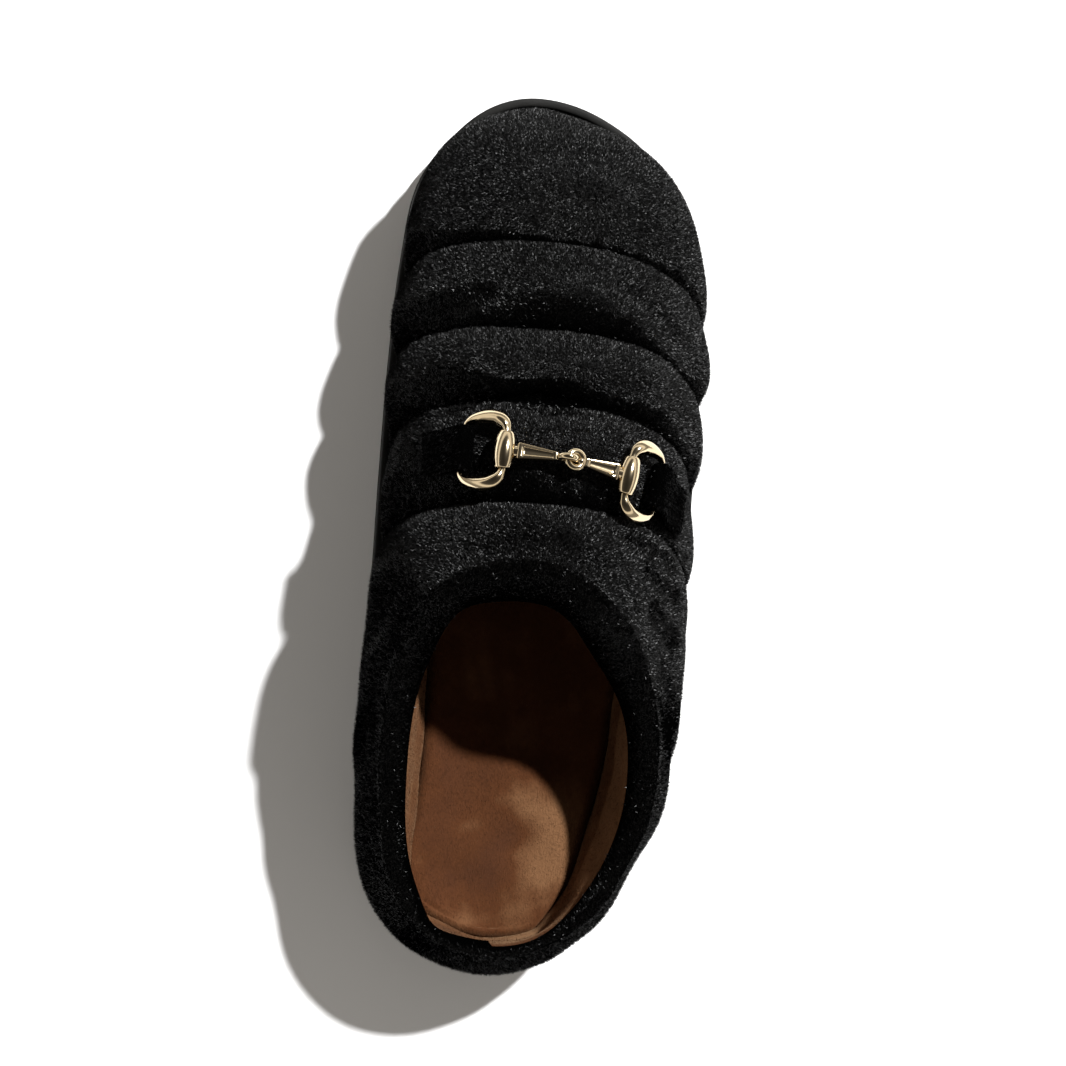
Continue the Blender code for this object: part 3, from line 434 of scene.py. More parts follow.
HEEL_PAINTED_SHADE, HEEL_SHADE_FADE = 0.50, (-0.114, -0.100)  # painted shade: and darker at the heel, where the lining faces the sun
CARAMEL_DARK = (0.043, 0.0135, 0.0042)
CARAMEL = (0.058, 0.0179, 0.0042)
CARAMEL_PALE = (0.134, 0.063, 0.0270)

medial_wall, lateral_wall = curves(WALL_THICKNESS)


def wall_at_sole(along, lateral):
    return np.where(lateral, lateral_wall(along), medial_wall(along))


def crease_depth(turn):
    """Depth of the wall where it meets the footbed; the heel's foam is pressed thin."""
    along = HALF_LENGTH * np.cos(turn)
    thin = HEEL_THIN * (1 - ease(along, *HEEL_THIN_FADE))
    return wall_at_sole(along, np.asarray(turn) >= 0) - thin


def ripple(points, wavelength, seed, waves=7):
    """Soft unevenness between about -1 and 1, from a few crossing waves."""
    rng = np.random.default_rng(seed)
    ways = unit(rng.normal(size=(waves, 3))) * 2 * math.pi / wavelength
    ways *= rng.uniform(*RIPPLE_LENGTHS, (waves, 1))
    starts = rng.uniform(0, 2 * math.pi, waves)
    return np.sin(np.asarray(points) @ ways.T + starts).sum(axis=-1) / math.sqrt(waves)


def point_normals(points, quads):
    corner = points[quads]
    face = np.cross(corner[:, 2] - corner[:, 0], corner[:, 3] - corner[:, 1])
    normals = np.zeros_like(points)
    for i in range(4):
        np.add.at(normals, quads[:, i], face)
    return unit(normals)


def sow(rng, points, normals, quads, weight, count):
    """Random roots over a sheet, spread by area and weight, with the sheet's normals there."""
    corner = points[quads]
    area = np.linalg.norm(np.cross(corner[:, 2] - corner[:, 0], corner[:, 3] - corner[:, 1]), axis=1)
    chance = area * weight
    chosen = rng.choice(len(quads), count, p=chance / chance.sum())
    u, v = rng.random((2, count))
    share = np.stack([(1 - u) * (1 - v), u * (1 - v), u * v, (1 - u) * v], axis=1)[:, :, None]
    return (corner[chosen] * share).sum(axis=1), unit((normals[quads[chosen]] * share).sum(axis=1))


def pile_piece(name, rng, root, normal, nap, length, width, lean, spread, scatter, twist):
    """One slim blade for each root: it leans from the normal towards the nap, each a little differently."""
    count = len(root)
    flat = nap - normal * np.sum(nap * normal, axis=1, keepdims=True)
    loose = rng.normal(size=(count, 3))
    loose -= normal * np.sum(loose * normal, axis=1, keepdims=True)
    heading = unit(unit(flat) + loose * scatter)
    rise = np.radians(lean + rng.normal(size=(count, 1)) * spread)
    way = heading * np.cos(rise) + normal * np.sin(rise)
    side = unit(np.cross(way, normal))
    roll = rng.normal(size=(count, 1)) * np.radians(twist)
    side = side * np.cos(roll) + np.cross(way, side) * np.sin(roll)
    long = length * rng.uniform(*BLADE_LENGTHS, (count, 1))
    half = width / 2 * rng.uniform(*BLADE_WIDTHS, (count, 1))
    foot = root - normal * BLADE_ROOT * width
    points = np.stack([foot - side * half, foot + side * half, root + way * long], axis=1).reshape(-1, 3)
    piece = lay_mesh(name, points, (), np.arange(3 * count).reshape(-1, 3))
    # Every blade has a small place of its own on the map
    cells = math.ceil(math.sqrt(count))
    cell = np.stack([np.arange(count) % cells, np.arange(count) // cells], axis=1)[:, None, :]
    own_map = piece.data.uv_layers.new(name="OFBake")
    own_map.data.foreach_set("uv", ((cell + BLADE_CELL) / cells).astype(np.float32).ravel())
    return piece


def tone_and_painted_light(piece, points, fine=0.0):
    """How pale the plush is coloured, point by point: a soft unevenness of tone, with painted sheen and
    shade in the brushed patches on the footbed and painted light and shade on the lining.
    """
    shade = 0.5 + BLOTCH * ripple(points, BLOTCH_WAVE, seed=13)
    shade += MOTTLE * ripple(points, MOTTLE_WAVE, seed=14)
    shade += fine * ripple(points, FINE_WAVE, seed=15, waves=FINE_WAVES)
    # Painted light and shade on the lining: lighter on its outer side, darker at the heel
    lining_painted_light = LATERAL_PAINTED_LIGHT * ease(points[:, 0], *LATERAL_FADE)
    lining_painted_light -= HEEL_PAINTED_SHADE * (1 - ease(points[:, 1], *HEEL_SHADE_FADE))
    shade += lining_painted_light * (points[:, 2] > FOOTBED_TOP)
    # The brushed patches' lighter and darker shades on the footbed are painted sheen and shade
    for across, along, radius, _, painted_sheen in BRUSHED_AND_SHEEN:
        away = np.hypot(points[:, 0] - across, points[:, 1] - along)
        shade += painted_sheen * np.exp(-((away / radius) ** 2)) * (points[:, 2] < FOOTBED_TOP)
    # The brushed attribute holds tone together with painted sheen, light and shade
    marks = piece.data.attributes.new("brushed", "FLOAT", "POINT")
    marks.data.foreach_set("value", np.clip(shade, 0, 1).astype(np.float32))


def caramel_finish():
    """Short caramel plush: colour in soft brushed patches with painted sheen and shade, painted light and
    shade on the lining, a fine nap and a dry sheen.
    """
    material, tree, shader = start_material("caramel_plush", CARAMEL, roughness=0.85, specular=0.15)
    # The ramp turns tone and painted sheen, light and shade into colour
    marks = tree.nodes.new("ShaderNodeAttribute")
    marks.attribute_name = "brushed"
    stops = (0.0, CARAMEL_DARK), (1.0, CARAMEL_PALE), (0.5, CARAMEL)
    tint = ramp_node(tree, marks.outputs["Fac"], *stops)
    tree.links.new(tint.outputs["Color"], shader.inputs["Base Color"])
    grain(tree, shader, scale=2200, detail=2, strength=0.6, distance=0.0004, stretch=(1, 0.35, 1))
    shader.inputs["Sheen Weight"].default_value = 0.22
    shader.inputs["Sheen Roughness"].default_value = 0.5
    shader.inputs["Sheen Tint"].default_value = (0.75, 0.46, 0.25, 1.0)
    return material


def brushed_way(points):
    """Which way the footbed's pile lies: back along the foot, turned about in the brushed patches."""
    heading = np.full(len(points), math.pi) + NAP_TURN * ripple(points, NAP_WAVE, seed=11)
    for across, along, radius, degrees, _ in BRUSHED_AND_SHEEN:
        away = np.hypot(points[:, 0] - across, points[:, 1] - along)
        heading += (math.radians(degrees) - heading) * np.exp(-((away / radius) ** 2))
    return np.column_stack([np.sin(heading), np.cos(heading), np.zeros(len(points))])


def build_footbed():
    steps = np.linspace(0, math.pi, FOOTBED_STATIONS // 2 + 1)
    turns = np.concatenate([steps, -steps[-2:0:-1]])
    seat = sole_top(HALF_LENGTH * np.cos(turns)) + SEAT_GAP
    base = FEATHER_INSET + crease_depth(turns) + FOOTBED_GAP
    rings = [
        np.column_stack([outline(turns, base + deeper), seat + FOOTBED_HEIGHT * share])
        for deeper, share in FOOTBED_EDGE
    ]
    numbers = numbered(len(rings), len(turns))
    dish = curves(FOOTBED_DISH)[0]

    def top(row, share):
        flat = np.column_stack([row[:, :2], np.zeros(len(row))])
        middle = ease(share, *UNEVEN_START) * (1 - ease(share, *UNEVEN_END))
        uneven = FOOTBED_UNEVEN * middle * ripple(flat, FOOTBED_WAVE, seed=5)
        return sole_top(row[:, 1]) + SEAT_GAP + FOOTBED_HEIGHT * dish(share) + uneven

    def under(row, share):
        return sole_top(row[:, 1]) + SEAT_GAP

    tops, top_quads, top_tips = span_cap(
        rings[-1], numbers[-1], numbers.size, between(FOOTBED_COLUMNS), top
    )
    unders, under_quads, under_tips = span_cap(
        rings[0], numbers[0], numbers.size + len(tops), (0.5,), under
    )
    points = np.concatenate(rings + [tops, unders])
    quads = np.concatenate([woven(numbers, closed=True), top_quads, under_quads])
    piece = closed_mesh("footbed", points, quads, top_tips + under_tips)
    shown = np.concatenate([woven(numbers[2:], closed=True), top_quads])
    return piece, points, shown


footbed, footbed_points, footbed_quads = build_footbed()
caramel_plush = caramel_finish()
tone_and_painted_light(footbed, footbed_points)
fit(footbed, caramel_plush, "caramel_plush", "insole")

pile_rng = np.random.default_rng(3)
footbed_normals = point_normals(footbed_points, footbed_quads)
footbed_normals *= np.where(footbed_normals[:, 2:] < 0, -1, 1)
footbed_seen = footbed_points[footbed_quads].mean(axis=1)[:, 1] < FOOTBED_PILE_END
roots, root_normals = sow(
    pile_rng, footbed_points, footbed_normals, footbed_quads, footbed_seen.astype(float), FOOTBED_PILE
)
footbed_pile = pile_piece(
    "footbed_pile", pile_rng, roots, root_normals, brushed_way(roots),
    PILE_LENGTH, PILE_WIDTH, PILE_LEAN, PILE_SPREAD, PILE_SCATTER, PILE_TWIST,
)
tone_and_painted_light(footbed_pile, np.repeat(roots, 3, axis=0), fine=PILE_FINE)
fit(footbed_pile, caramel_plush, "caramel_plush")

# Upper: black plush over foam, sewn across into puffs that run down to the sole on both sides, with a
# padded roll round the collar. It is lasted on the shelf of the sole and cemented there; soft hollows and
# small gathers along the sewn grooves are where the plush has too much length for the thread.

INSTEP_HEIGHT, HEEL_HEIGHT = 0.0925, 0.0510
CROWN_LINE = np.array([
    # fold,  across,   along,  height
    (0.00, -0.0080, 0.1295, 0.0215),
    (0.10, -0.0080, 0.1296, 0.0295),
    (0.25, -0.0078, 0.1272, 0.0395),
    (0.45, -0.0072, 0.1195, 0.0500),
    (0.70, -0.0062, 0.1060, 0.0565),
    (1.00, -0.0050, 0.0862, 0.0602),
    (2.00, -0.0035, 0.0598, 0.0668),
    (3.00, -0.0025, 0.0380, 0.0735),
    (4.00, -0.0020, 0.0078, 0.0832),
])
FOLD_ENDS = np.array([
    # fold, lateral,  medial, puff
    (0.0, 0.0930, 0.1010, 0.0040),
    (1.0, 0.0550, 0.0720, 0.0058),
    (2.0, 0.0300, 0.0470, 0.0058),
    (3.0, 0.0045, 0.0205, 0.0056),
    (4.0, -0.0260, -0.0120, 0.0000),
])
LAST_FOLD = 4
ARC_ACROSS, ARC_ALONG, ARC_UP = 0.86, 0.66, 0.88
TOE_ROUND, TOE_FIT, TOE_SWELL_LATE, TOE_ROWS_CLOSE = 1.15, 0.45, 1.8, 1.2
PUFF_ROUND, PUFF_SIDE, PUFF_EASE = 0.62, 0.30, 0.0130
STRAP_FOLD = 3.5
STRAP_PRESS, STRAP_BESIDE = 0.5, (0.35, 0.75)  # the straps flatten their puff down both sides
RIDGE_FRONT, RIDGE_BACK, RIDGE_HALF_WIDTH = -0.0080, -0.1278, 0.0415
EDGE_FRONT, EDGE_BACK, EDGE_HALF_WIDTH = -0.0205, -0.1235, 0.0330
EDGE_DROP_FRONT, EDGE_DROP_BACK = 0.0095, 0.0045
COLLAR_LEAN = np.array([(-0.1278, -0.0058), (-0.0750, -0.0012), (-0.0080, -0.0062)])  # along, across
COLLAR_SQUARENESS, COLLAR_FALL = 2.2, 2.2
COLLAR_TURN = math.radians(66)  # where the last fold reaches the sole, round the oval from the throat
COLLAR_CORE = (0, 0, 0.06)  # how far under its middle the collar's body is centred
THROAT_LIFT, THROAT_BROAD, THROAT_NARROW = 0.0035, math.radians(30), math.radians(65)
EDGE_CORNERS = (
    # around in degrees, width in degrees, push across, push along
    (-153, 12, -0.0016, -0.0014), (-32, 16, -0.0010, 0.0024), (42, 20, -0.0032, -0.0012),
)
SWELL_FRONT, SWELL_BACK, SWELL_SOON = 0.0040, 0.0066, 0.75
SKIN_TOE_ROWS, SKIN_PUFF_ROWS = 44, 24
SKIN_COLUMNS, SKIN_HEEL_COLUMNS, HEEL_FINE_STEPS = 180, 150, 800
COLLAR_ROWS, ROLL_ROWS = 26, 12
SKIN_SUNK = 0.0004  # the cloth lies this far under the pile's own surface
SKIN_THICKNESS = 0.0020
HEEL_STEP, HEEL_STEP_TURN = 0.50, (2.0, 2.9)  # share of the roll that is bare beside the centre-back seam
GATHER_DEPTH, GATHER_PITCH, GATHER_REACH = 0.0002, 0.0085, 0.16
GATHER_RADIUS, GATHER_WANDER, GATHER_WAVE = 0.055, 2.2, 0.03
SKIN_UNEVEN, SKIN_WAVE = 0.0005, 0.024
FOOT_HELD, COLLAR_HELD, ROLL_FREE = (0.0, 0.012), (0, 0.3), (0.3, 0.9)  # near its seams the cloth stays put
TOE_BACK, TOE_BACK_FOLDS = 0.0006, (0.3, 0.7)  # the toe's puff is drawn in this much behind the lip
HOLLOWS = np.array([
    # from across, along, height, to across, along, height, width, depth
    (-0.020, 0.069, 0.068, 0.010, 0.067, 0.069, 0.0050, 0.0010),
    (0.018, 0.078, 0.068, 0.026, 0.071, 0.062, 0.0045, 0.0008),
    (-0.034, 0.063, 0.056, -0.024, 0.069, 0.066, 0.0050, 0.0018),
    (0.030, 0.066, 0.056, 0.042, 0.058, 0.044, 0.0055, 0.0015),
    (-0.033, 0.044, 0.060, -0.022, 0.041, 0.070, 0.0045, 0.0005),
    (0.016, 0.044, 0.074, 0.030, 0.047, 0.066, 0.0045, 0.0006),
    (0.034, 0.044, 0.058, 0.044, 0.034, 0.044, 0.0055, 0.0016),
    (-0.030, 0.034, 0.066, -0.002, 0.0355, 0.0745, 0.0040, 0.0019),
    (-0.002, 0.0355, 0.0745, 0.030, 0.0300, 0.066, 0.0040, 0.0019),
    (-0.020, -0.008, 0.088, -0.004, -0.003, 0.091, 0.0045, 0.0010),
    (0.004, -0.004, 0.091, 0.012, -0.008, 0.089, 0.0040, 0.0009),
    (0.025, -0.001, 0.080, 0.042, -0.007, 0.060, 0.0045, 0.0020),
    (0.029, -0.010, 0.078, 0.046, -0.018, 0.058, 0.0040, 0.0020),
    (0.032, -0.021, 0.072, 0.047, -0.034, 0.052, 0.0042, 0.0024),
    (0.038, -0.037, 0.062, 0.047, -0.052, 0.044, 0.0042, 0.0018),
    (0.041, -0.048, 0.054, 0.046, -0.066, 0.038, 0.0050, 0.0010),
    (-0.040, -0.020, 0.068, -0.049, -0.034, 0.044, 0.0055, 0.0014),
    (-0.046, -0.060, 0.052, -0.049, -0.078, 0.034, 0.0060, 0.0012),
])
PLUSH_BASE, PLUSH_WEAVE = (0.0003, 0.0003, 0.0003), 1800

crown_across, crown_along, crown_height = curves(CROWN_LINE)
lateral_end, medial_end = curves(FOLD_ENDS[:, :3])
collar_middle = curves(COLLAR_LEAN)[0]


def run_along(path):
    """The distance along a path to each of its points."""
    return np.concatenate([[0], np.cumsum(np.linalg.norm(np.diff(path, axis=0), axis=1))])


def feather(turn, depth=0.0):
    """Points where the upper stands on the sole; depth goes into its wall."""
    plan = outline(turn, FEATHER_INSET + np.asarray(depth, float))
    along = HALF_LENGTH * np.cos(turn)
    return np.concatenate([plan, (sole_top(along) + SEAT_GAP)[..., None]], axis=-1)


def toe_turns(arch):
    """Turns of the outline along the toe's first row: its two ends, and the row itself round the tip."""
    ends = np.where(arch <= math.pi / 2, turn_of(FOLD_ENDS[0, 1]), -turn_of(FOLD_ENDS[0, 2]))
    return ends, ends * (1 - np.clip(np.sin(arch), 0, 1) ** TOE_ROUND)


def vamp_base(fold, arch):
    """The upper at its sewn grooves' depth. Arch is 0 at the lateral sole and pi at the medial one."""
    fold, arch = np.broadcast_arrays(np.asarray(fold, float), np.asarray(arch, float))
    lateral = arch <= math.pi / 2
    foot = feather(np.where(lateral, turn_of(lateral_end(fold)), -turn_of(medial_end(fold))))
    crown = np.stack([crown_across(fold), crown_along(fold), crown_height(fold)], axis=-1)
    rise, fall = np.clip(np.sin(arch), 0, 1), np.abs(np.cos(arch))
    keep = np.stack([fall**ARC_ACROSS, 1 - rise**ARC_ALONG, 1 - rise**ARC_UP], axis=-1)
    # Rows at the toe tip follow the sole's outline
    ends, tip_row = toe_turns(arch)
    plain = CROWN_LINE[0, 1:] + (feather(ends) - CROWN_LINE[0, 1:]) * keep
    near_toe = (1 - ease(fold, 0, TOE_FIT))[..., None]
    return crown + (foot - crown) * keep + (feather(tip_row) - plain) * near_toe


def vamp_frame(fold, arch):
    """Point on the grooves' depth and its outward normal."""
    d_fold, d_arch, end = 0.02, 0.01, 0.002
    fold, arch = np.broadcast_arrays(np.asarray(fold, float), np.asarray(arch, float))
    f0, f1 = np.clip(fold - d_fold, 0, LAST_FOLD), np.clip(fold + d_fold, 0, LAST_FOLD)
    a0, a1 = np.clip(arch - d_arch, end, math.pi - end), np.clip(arch + d_arch, end, math.pi - end)
    along = vamp_base(f1, arch) - vamp_base(f0, arch)
    round_arch = vamp_base(fold, a1) - vamp_base(fold, a0)
    return vamp_base(fold, arch), unit(np.cross(unit(round_arch), unit(along)))


def puff_height(fold, arch, height_over_sole):
    """How far the padding stands over the sewn grooves."""
    row = np.clip(np.floor(fold), 0, LAST_FOLD - 1).astype(int)
    share = np.asarray(fold, float) - row
    swell = np.sin(math.pi * np.clip(np.where(row == 0, share**TOE_SWELL_LATE, share), 0, 1)) ** PUFF_ROUND
    beside = ease(np.abs(np.cos(arch)), *STRAP_BESIDE) * STRAP_PRESS
    pressed = np.where(row == int(STRAP_FOLD), 1 - beside, 1.0)
    at_side = 1 - PUFF_SIDE * np.cos(arch) ** 2
    return FOLD_ENDS[row, 3] * swell * pressed * at_side * ease(height_over_sole, 0.0, PUFF_EASE)


def vamp_outer(fold, arch, lift=0.0):
    point, normal = vamp_frame(fold, arch)
    over = point[..., 2] - sole_top(point[..., 1])
    return point + normal * (puff_height(fold, arch, over) + lift)[..., None]


def collar_oval(around, front, back, half_width):
    """Plan of an oval round the opening. Around is 0 at the throat and positive on the lateral side."""
    c, s = np.cos(around), np.sin(around)
    power = 2 / COLLAR_SQUARENESS
    along = (front + back) / 2 + (front - back) / 2 * np.sign(c) * np.abs(c) ** power
    across = collar_middle(along) + half_width * np.sign(s) * np.abs(s) ** power
    return np.stack([across, along], axis=-1)


def collar_high(around):
    return ((1 + np.cos(around)) / 2) ** COLLAR_FALL


def wrapped(around):
    return np.mod(around + math.pi, 2 * math.pi) - math.pi


def ridge(around):
    """Top of the padded roll, which is broad and full over the instep."""
    plan = collar_oval(around, RIDGE_FRONT, RIDGE_BACK, RIDGE_HALF_WIDTH)
    near = 1 - ease(np.abs(wrapped(around)), THROAT_BROAD, THROAT_NARROW)
    high = collar_high(around) * (1 - near) + (1 + np.cos(around)) / 2 * near
    height = HEEL_HEIGHT + (INSTEP_HEIGHT - HEEL_HEIGHT) * high + THROAT_LIFT * near
    return np.concatenate([plan, height[..., None]], axis=-1)


def lining_edge(around):
    """Where the roll goes over into the wall inside."""
    plan = collar_oval(around, EDGE_FRONT, EDGE_BACK, EDGE_HALF_WIDTH)
    for degrees, width, push_across, push_along in EDGE_CORNERS:
        share = np.exp(-(((np.degrees(wrapped(around)) - degrees) / width) ** 2))
        plan += share[..., None] * (push_across, push_along)
    drop = EDGE_DROP_BACK + (EDGE_DROP_FRONT - EDGE_DROP_BACK) * collar_high(around)
    return np.concatenate([plan, (ridge(around)[..., 2] - drop)[..., None]], axis=-1)


def roll_point(top, edge, angle):
    """Over the roll, from the ridge (0) to the lining's edge (a quarter turn)."""
    level = top[:, :2] + (edge - top)[:, :2] * np.sin(angle)[:, None]
    return np.column_stack([level, top[:, 2] + (edge - top)[:, 2] * (1 - np.cos(angle))])


def plush_end(around):
    """Share of the roll that the plush covers; its two ends miss each other at the centre-back seam."""
    return 1 - HEEL_STEP * ease(wrapped(around), *HEEL_STEP_TURN)


def heel_turns(count):
    """Even steps of the outline from the last fold's medial end round the heel to its lateral end."""
    ends = -turn_of(FOLD_ENDS[-1, 2]), turn_of(FOLD_ENDS[-1, 1]) - 2 * math.pi
    fine = np.linspace(*ends, HEEL_FINE_STEPS)
    run = run_along(outline(np.where(fine < -math.pi, fine + 2 * math.pi, fine), FEATHER_INSET))
    share = between(count)
    turn = np.interp(share * run[-1], run, fine)
    return np.where(turn < -math.pi, turn + 2 * math.pi, turn), share


def collar_outward(foot, top):
    """The way that the band between foot and ridge faces."""
    tangent = unit(np.roll(foot + top, -1, axis=0) - np.roll(foot + top, 1, axis=0))
    outward = unit(np.cross(unit(top - foot), tangent))
    middle = (foot + top).mean(axis=0) / 2 - COLLAR_CORE
    return np.where((np.sum(outward * (foot - middle), axis=1) < 0)[:, None], -outward, outward)


def fold_rows():
    """Rows across the quilting, closer together at the sewn grooves."""
    even = np.linspace(0, 1, SKIN_PUFF_ROWS + 1)[:-1]
    close = (even + 0.5 * (1 - np.cos(math.pi * even))) / 2
    toe = 1 - (1 - np.linspace(0, 1, SKIN_TOE_ROWS + 1)[:-1]) ** TOE_ROWS_CLOSE
    return np.concatenate([toe] + [fold + close for fold in range(1, LAST_FOLD)] + [[LAST_FOLD]])


def hollow_lines(points):
    """The hollows' middle lines, with their ends brought to the nearest places of the cloth."""
    ends = HOLLOWS[:, :6].reshape(-1, 3)
    nearest = [points[np.argmin(np.linalg.norm(points - end, axis=1))] for end in ends]
    return np.array(nearest).reshape(-1, 2, 3)


def hollow_depth(points, lines):
    """How far the cloth is pressed in: soft troughs along the lines."""
    pressed = np.zeros(len(points))
    for (start, end), (width, depth) in zip(lines, HOLLOWS[:, 6:]):
        share = np.clip((points - start) @ (end - start) / np.sum((end - start) ** 2), 0, 1)
        away = np.linalg.norm(points - start - share[:, None] * (end - start), axis=1)
        pressed += depth * np.exp(-((away / width) ** 2))
    return pressed


def shape_skin():
    """The plush skin: vamp rows, then the collar's rows and its roll, down to the edge of the lining."""
    folds, arches = fold_rows(), np.linspace(0, math.pi, SKIN_COLUMNS + 1)
    fold_grid, arch_grid = np.meshgrid(folds, arches, indexing="ij")
    vamp = vamp_outer(fold_grid, arch_grid, -SKIN_SUNK)
    vamp[0] = feather(toe_turns(arches)[1])
    vamp[:, 0] = feather(turn_of(lateral_end(folds)))
    vamp[:, -1] = feather(-turn_of(medial_end(folds)))
    turns, share = heel_turns(SKIN_HEEL_COLUMNS)
    around_front = COLLAR_TURN * (1 - 2 * arches / math.pi)
    around_heel = -COLLAR_TURN - (2 * math.pi - 2 * COLLAR_TURN) * share
    around = np.concatenate([around_front, around_heel])
    foot = np.concatenate([vamp[-1], feather(turns)])
    top, edge = ridge(around), lining_edge(around)
    top[:, 2] -= SKIN_SUNK
    outward = collar_outward(foot, top)
    swell = SWELL_BACK + (SWELL_FRONT - SWELL_BACK) * collar_high(around)
    rows = []
    for step in np.linspace(0, 1, COLLAR_ROWS + 1)[1:]:
        bulge = math.sin(math.pi * step**SWELL_SOON) * (swell - SKIN_SUNK)
        rows.append(foot + (top - foot) * step + outward * bulge[:, None])
    for step in np.linspace(0, math.pi / 2, ROLL_ROWS + 1)[1:]:
        rows.append(roll_point(top, edge, step * plush_end(around)))
    vamp_numbers = numbered(*vamp.shape[:2])
    count = vamp_numbers.size
    heel_numbers = count + np.arange(len(turns))
    above = numbered(len(rows), len(around), heel_numbers[-1] + 1)
    below = np.concatenate([vamp_numbers[-1], heel_numbers])
    points = np.concatenate([vamp.reshape(-1, 3), feather(turns), np.concatenate(rows)])
    quads = np.concatenate([woven(vamp_numbers), woven(np.vstack([below, above]), closed=True)])
    # Gathers run out of each groove, fading over the puffs; the foot and the lining's edge stay put
    normals = point_normals(points, quads)
    groove = np.zeros(len(points))
    groove[:count] = np.exp(-((np.abs(fold_grid - np.round(fold_grid)) / GATHER_REACH) ** 2)).ravel()
    groove[:count] *= (fold_grid > 0.5).ravel() * np.sin(arch_grid).ravel() ** 0.5
    run = np.zeros(len(points))
    run[:count] = (arch_grid * GATHER_RADIUS).ravel()
    wander = GATHER_WANDER * ripple(points, GATHER_WAVE, seed=21)
    gathers = np.sin(2 * math.pi * run / GATHER_PITCH + wander)
    free = np.ones(len(points))
    free[:count] = ease(points[:count, 2] - sole_top(points[:count, 1]), *FOOT_HELD)
    free[heel_numbers] = 0
    free[above[:COLLAR_ROWS]] = ease(np.linspace(0, 1, COLLAR_ROWS + 1)[1:], *COLLAR_HELD)[:, None]
    free[above[COLLAR_ROWS:]] = 1 - ease(np.linspace(0, 1, ROLL_ROWS), *ROLL_FREE)[:, None]
    lift = GATHER_DEPTH * groove * gathers + SKIN_UNEVEN * ripple(points, SKIN_WAVE, seed=8)
    at_toe = 1 - ease(fold_grid, *TOE_BACK_FOLDS)
    lift[:count] -= TOE_BACK * at_toe.ravel() * (1 - np.abs(normals[:count, 2]))
    lines = hollow_lines(points)
    lift -= hollow_depth(points, lines)
    return points + normals * (lift * free)[:, None], quads, around, lines


def thicken(points, quads, depth):
    """Closes a sheet into a thin solid: a second skin under it, and strips along its open edges."""
    under = points - point_normals(points, quads) * depth
    sides = np.concatenate([quads[:, [i, (i + 1) % 4]] for i in range(4)])
    key = np.sort(sides, axis=1)
    key = key[:, 0].astype(np.int64) * len(points) + key[:, 1]
    _, where, uses = np.unique(key, return_index=True, return_counts=True)
    open_sides = sides[where[uses == 1]]
    shift = len(points)
    strips = np.column_stack([open_sides[:, ::-1], open_sides + shift])
    return np.concatenate([points, under]), np.concatenate([quads, quads[:, ::-1] + shift, strips])


def cloth_finish(name, colour, weave):
    """Black cloth without gloss, finely bumped by its weave."""
    material, tree, shader = start_material(name, colour, roughness=0.95, specular=0.0)
    grain(tree, shader, weave, detail=2, strength=0.5, distance=0.0003)
    return material


skin, skin_quads, around, creases = shape_skin()
upper = closed_mesh("plush_upper", *thicken(skin, skin_quads, SKIN_THICKNESS))
fit(upper, cloth_finish("plush_cloth", PLUSH_BASE, PLUSH_WEAVE), "black_plush", "upper")

# Lining: caramel plush from the roll's edge down inside the wall and on under the vamp to the toe.
# It is sewn to the plush along the collar's edge, with its ends meeting at the centre-back seam.

TOP_WALL, WALL_EASE = 0.0050, 0.0250  # the vamp's wall thins to this, over this height above the sole
LINING_ROWS, LINING_CURVE, LINING_VAMP_ROWS = 22, 1.6, 36
LINING_ROLL_ROWS, LINING_TUCK = 6, 0.12  # the lining starts under the plush, by this share of the roll
LINING_SUNK = 0.0009  # it comes out under the plush's edge
LINING_BULGE, LINING_BULGE_REACH = 0.0013, 0.0055  # it swells against the footbed's edge
LINING_THICKNESS = 0.0009
LINING_PILE, LINING_NAP = 52000, (0.0, -0.5, 0.8)
LINING_HIDDEN, LINING_SHOWN = 0.3, (-0.045, -0.025)  # there is less pile where the throat hides it
FRINGE_LONG, FRINGE_UP = 0.6, 12  # along its edge the pile is longer by this share, and more upright
FRINGE_SLOPE = (0.15, 0.55)
LINING_UNEVEN, LINING_WAVE = 0.0004, 0.018


def vamp_inner(fold, arch):
    point, normal = vamp_frame(fold, arch)
    over = point[..., 2] - sole_top(point[..., 1])
    side_wall = wall_at_sole(point[..., 1], np.asarray(arch) <= math.pi / 2)
    thick = TOP_WALL + (side_wall - TOP_WALL) * (1 - ease(over, 0, WALL_EASE))
    return point - normal * thick[..., None]


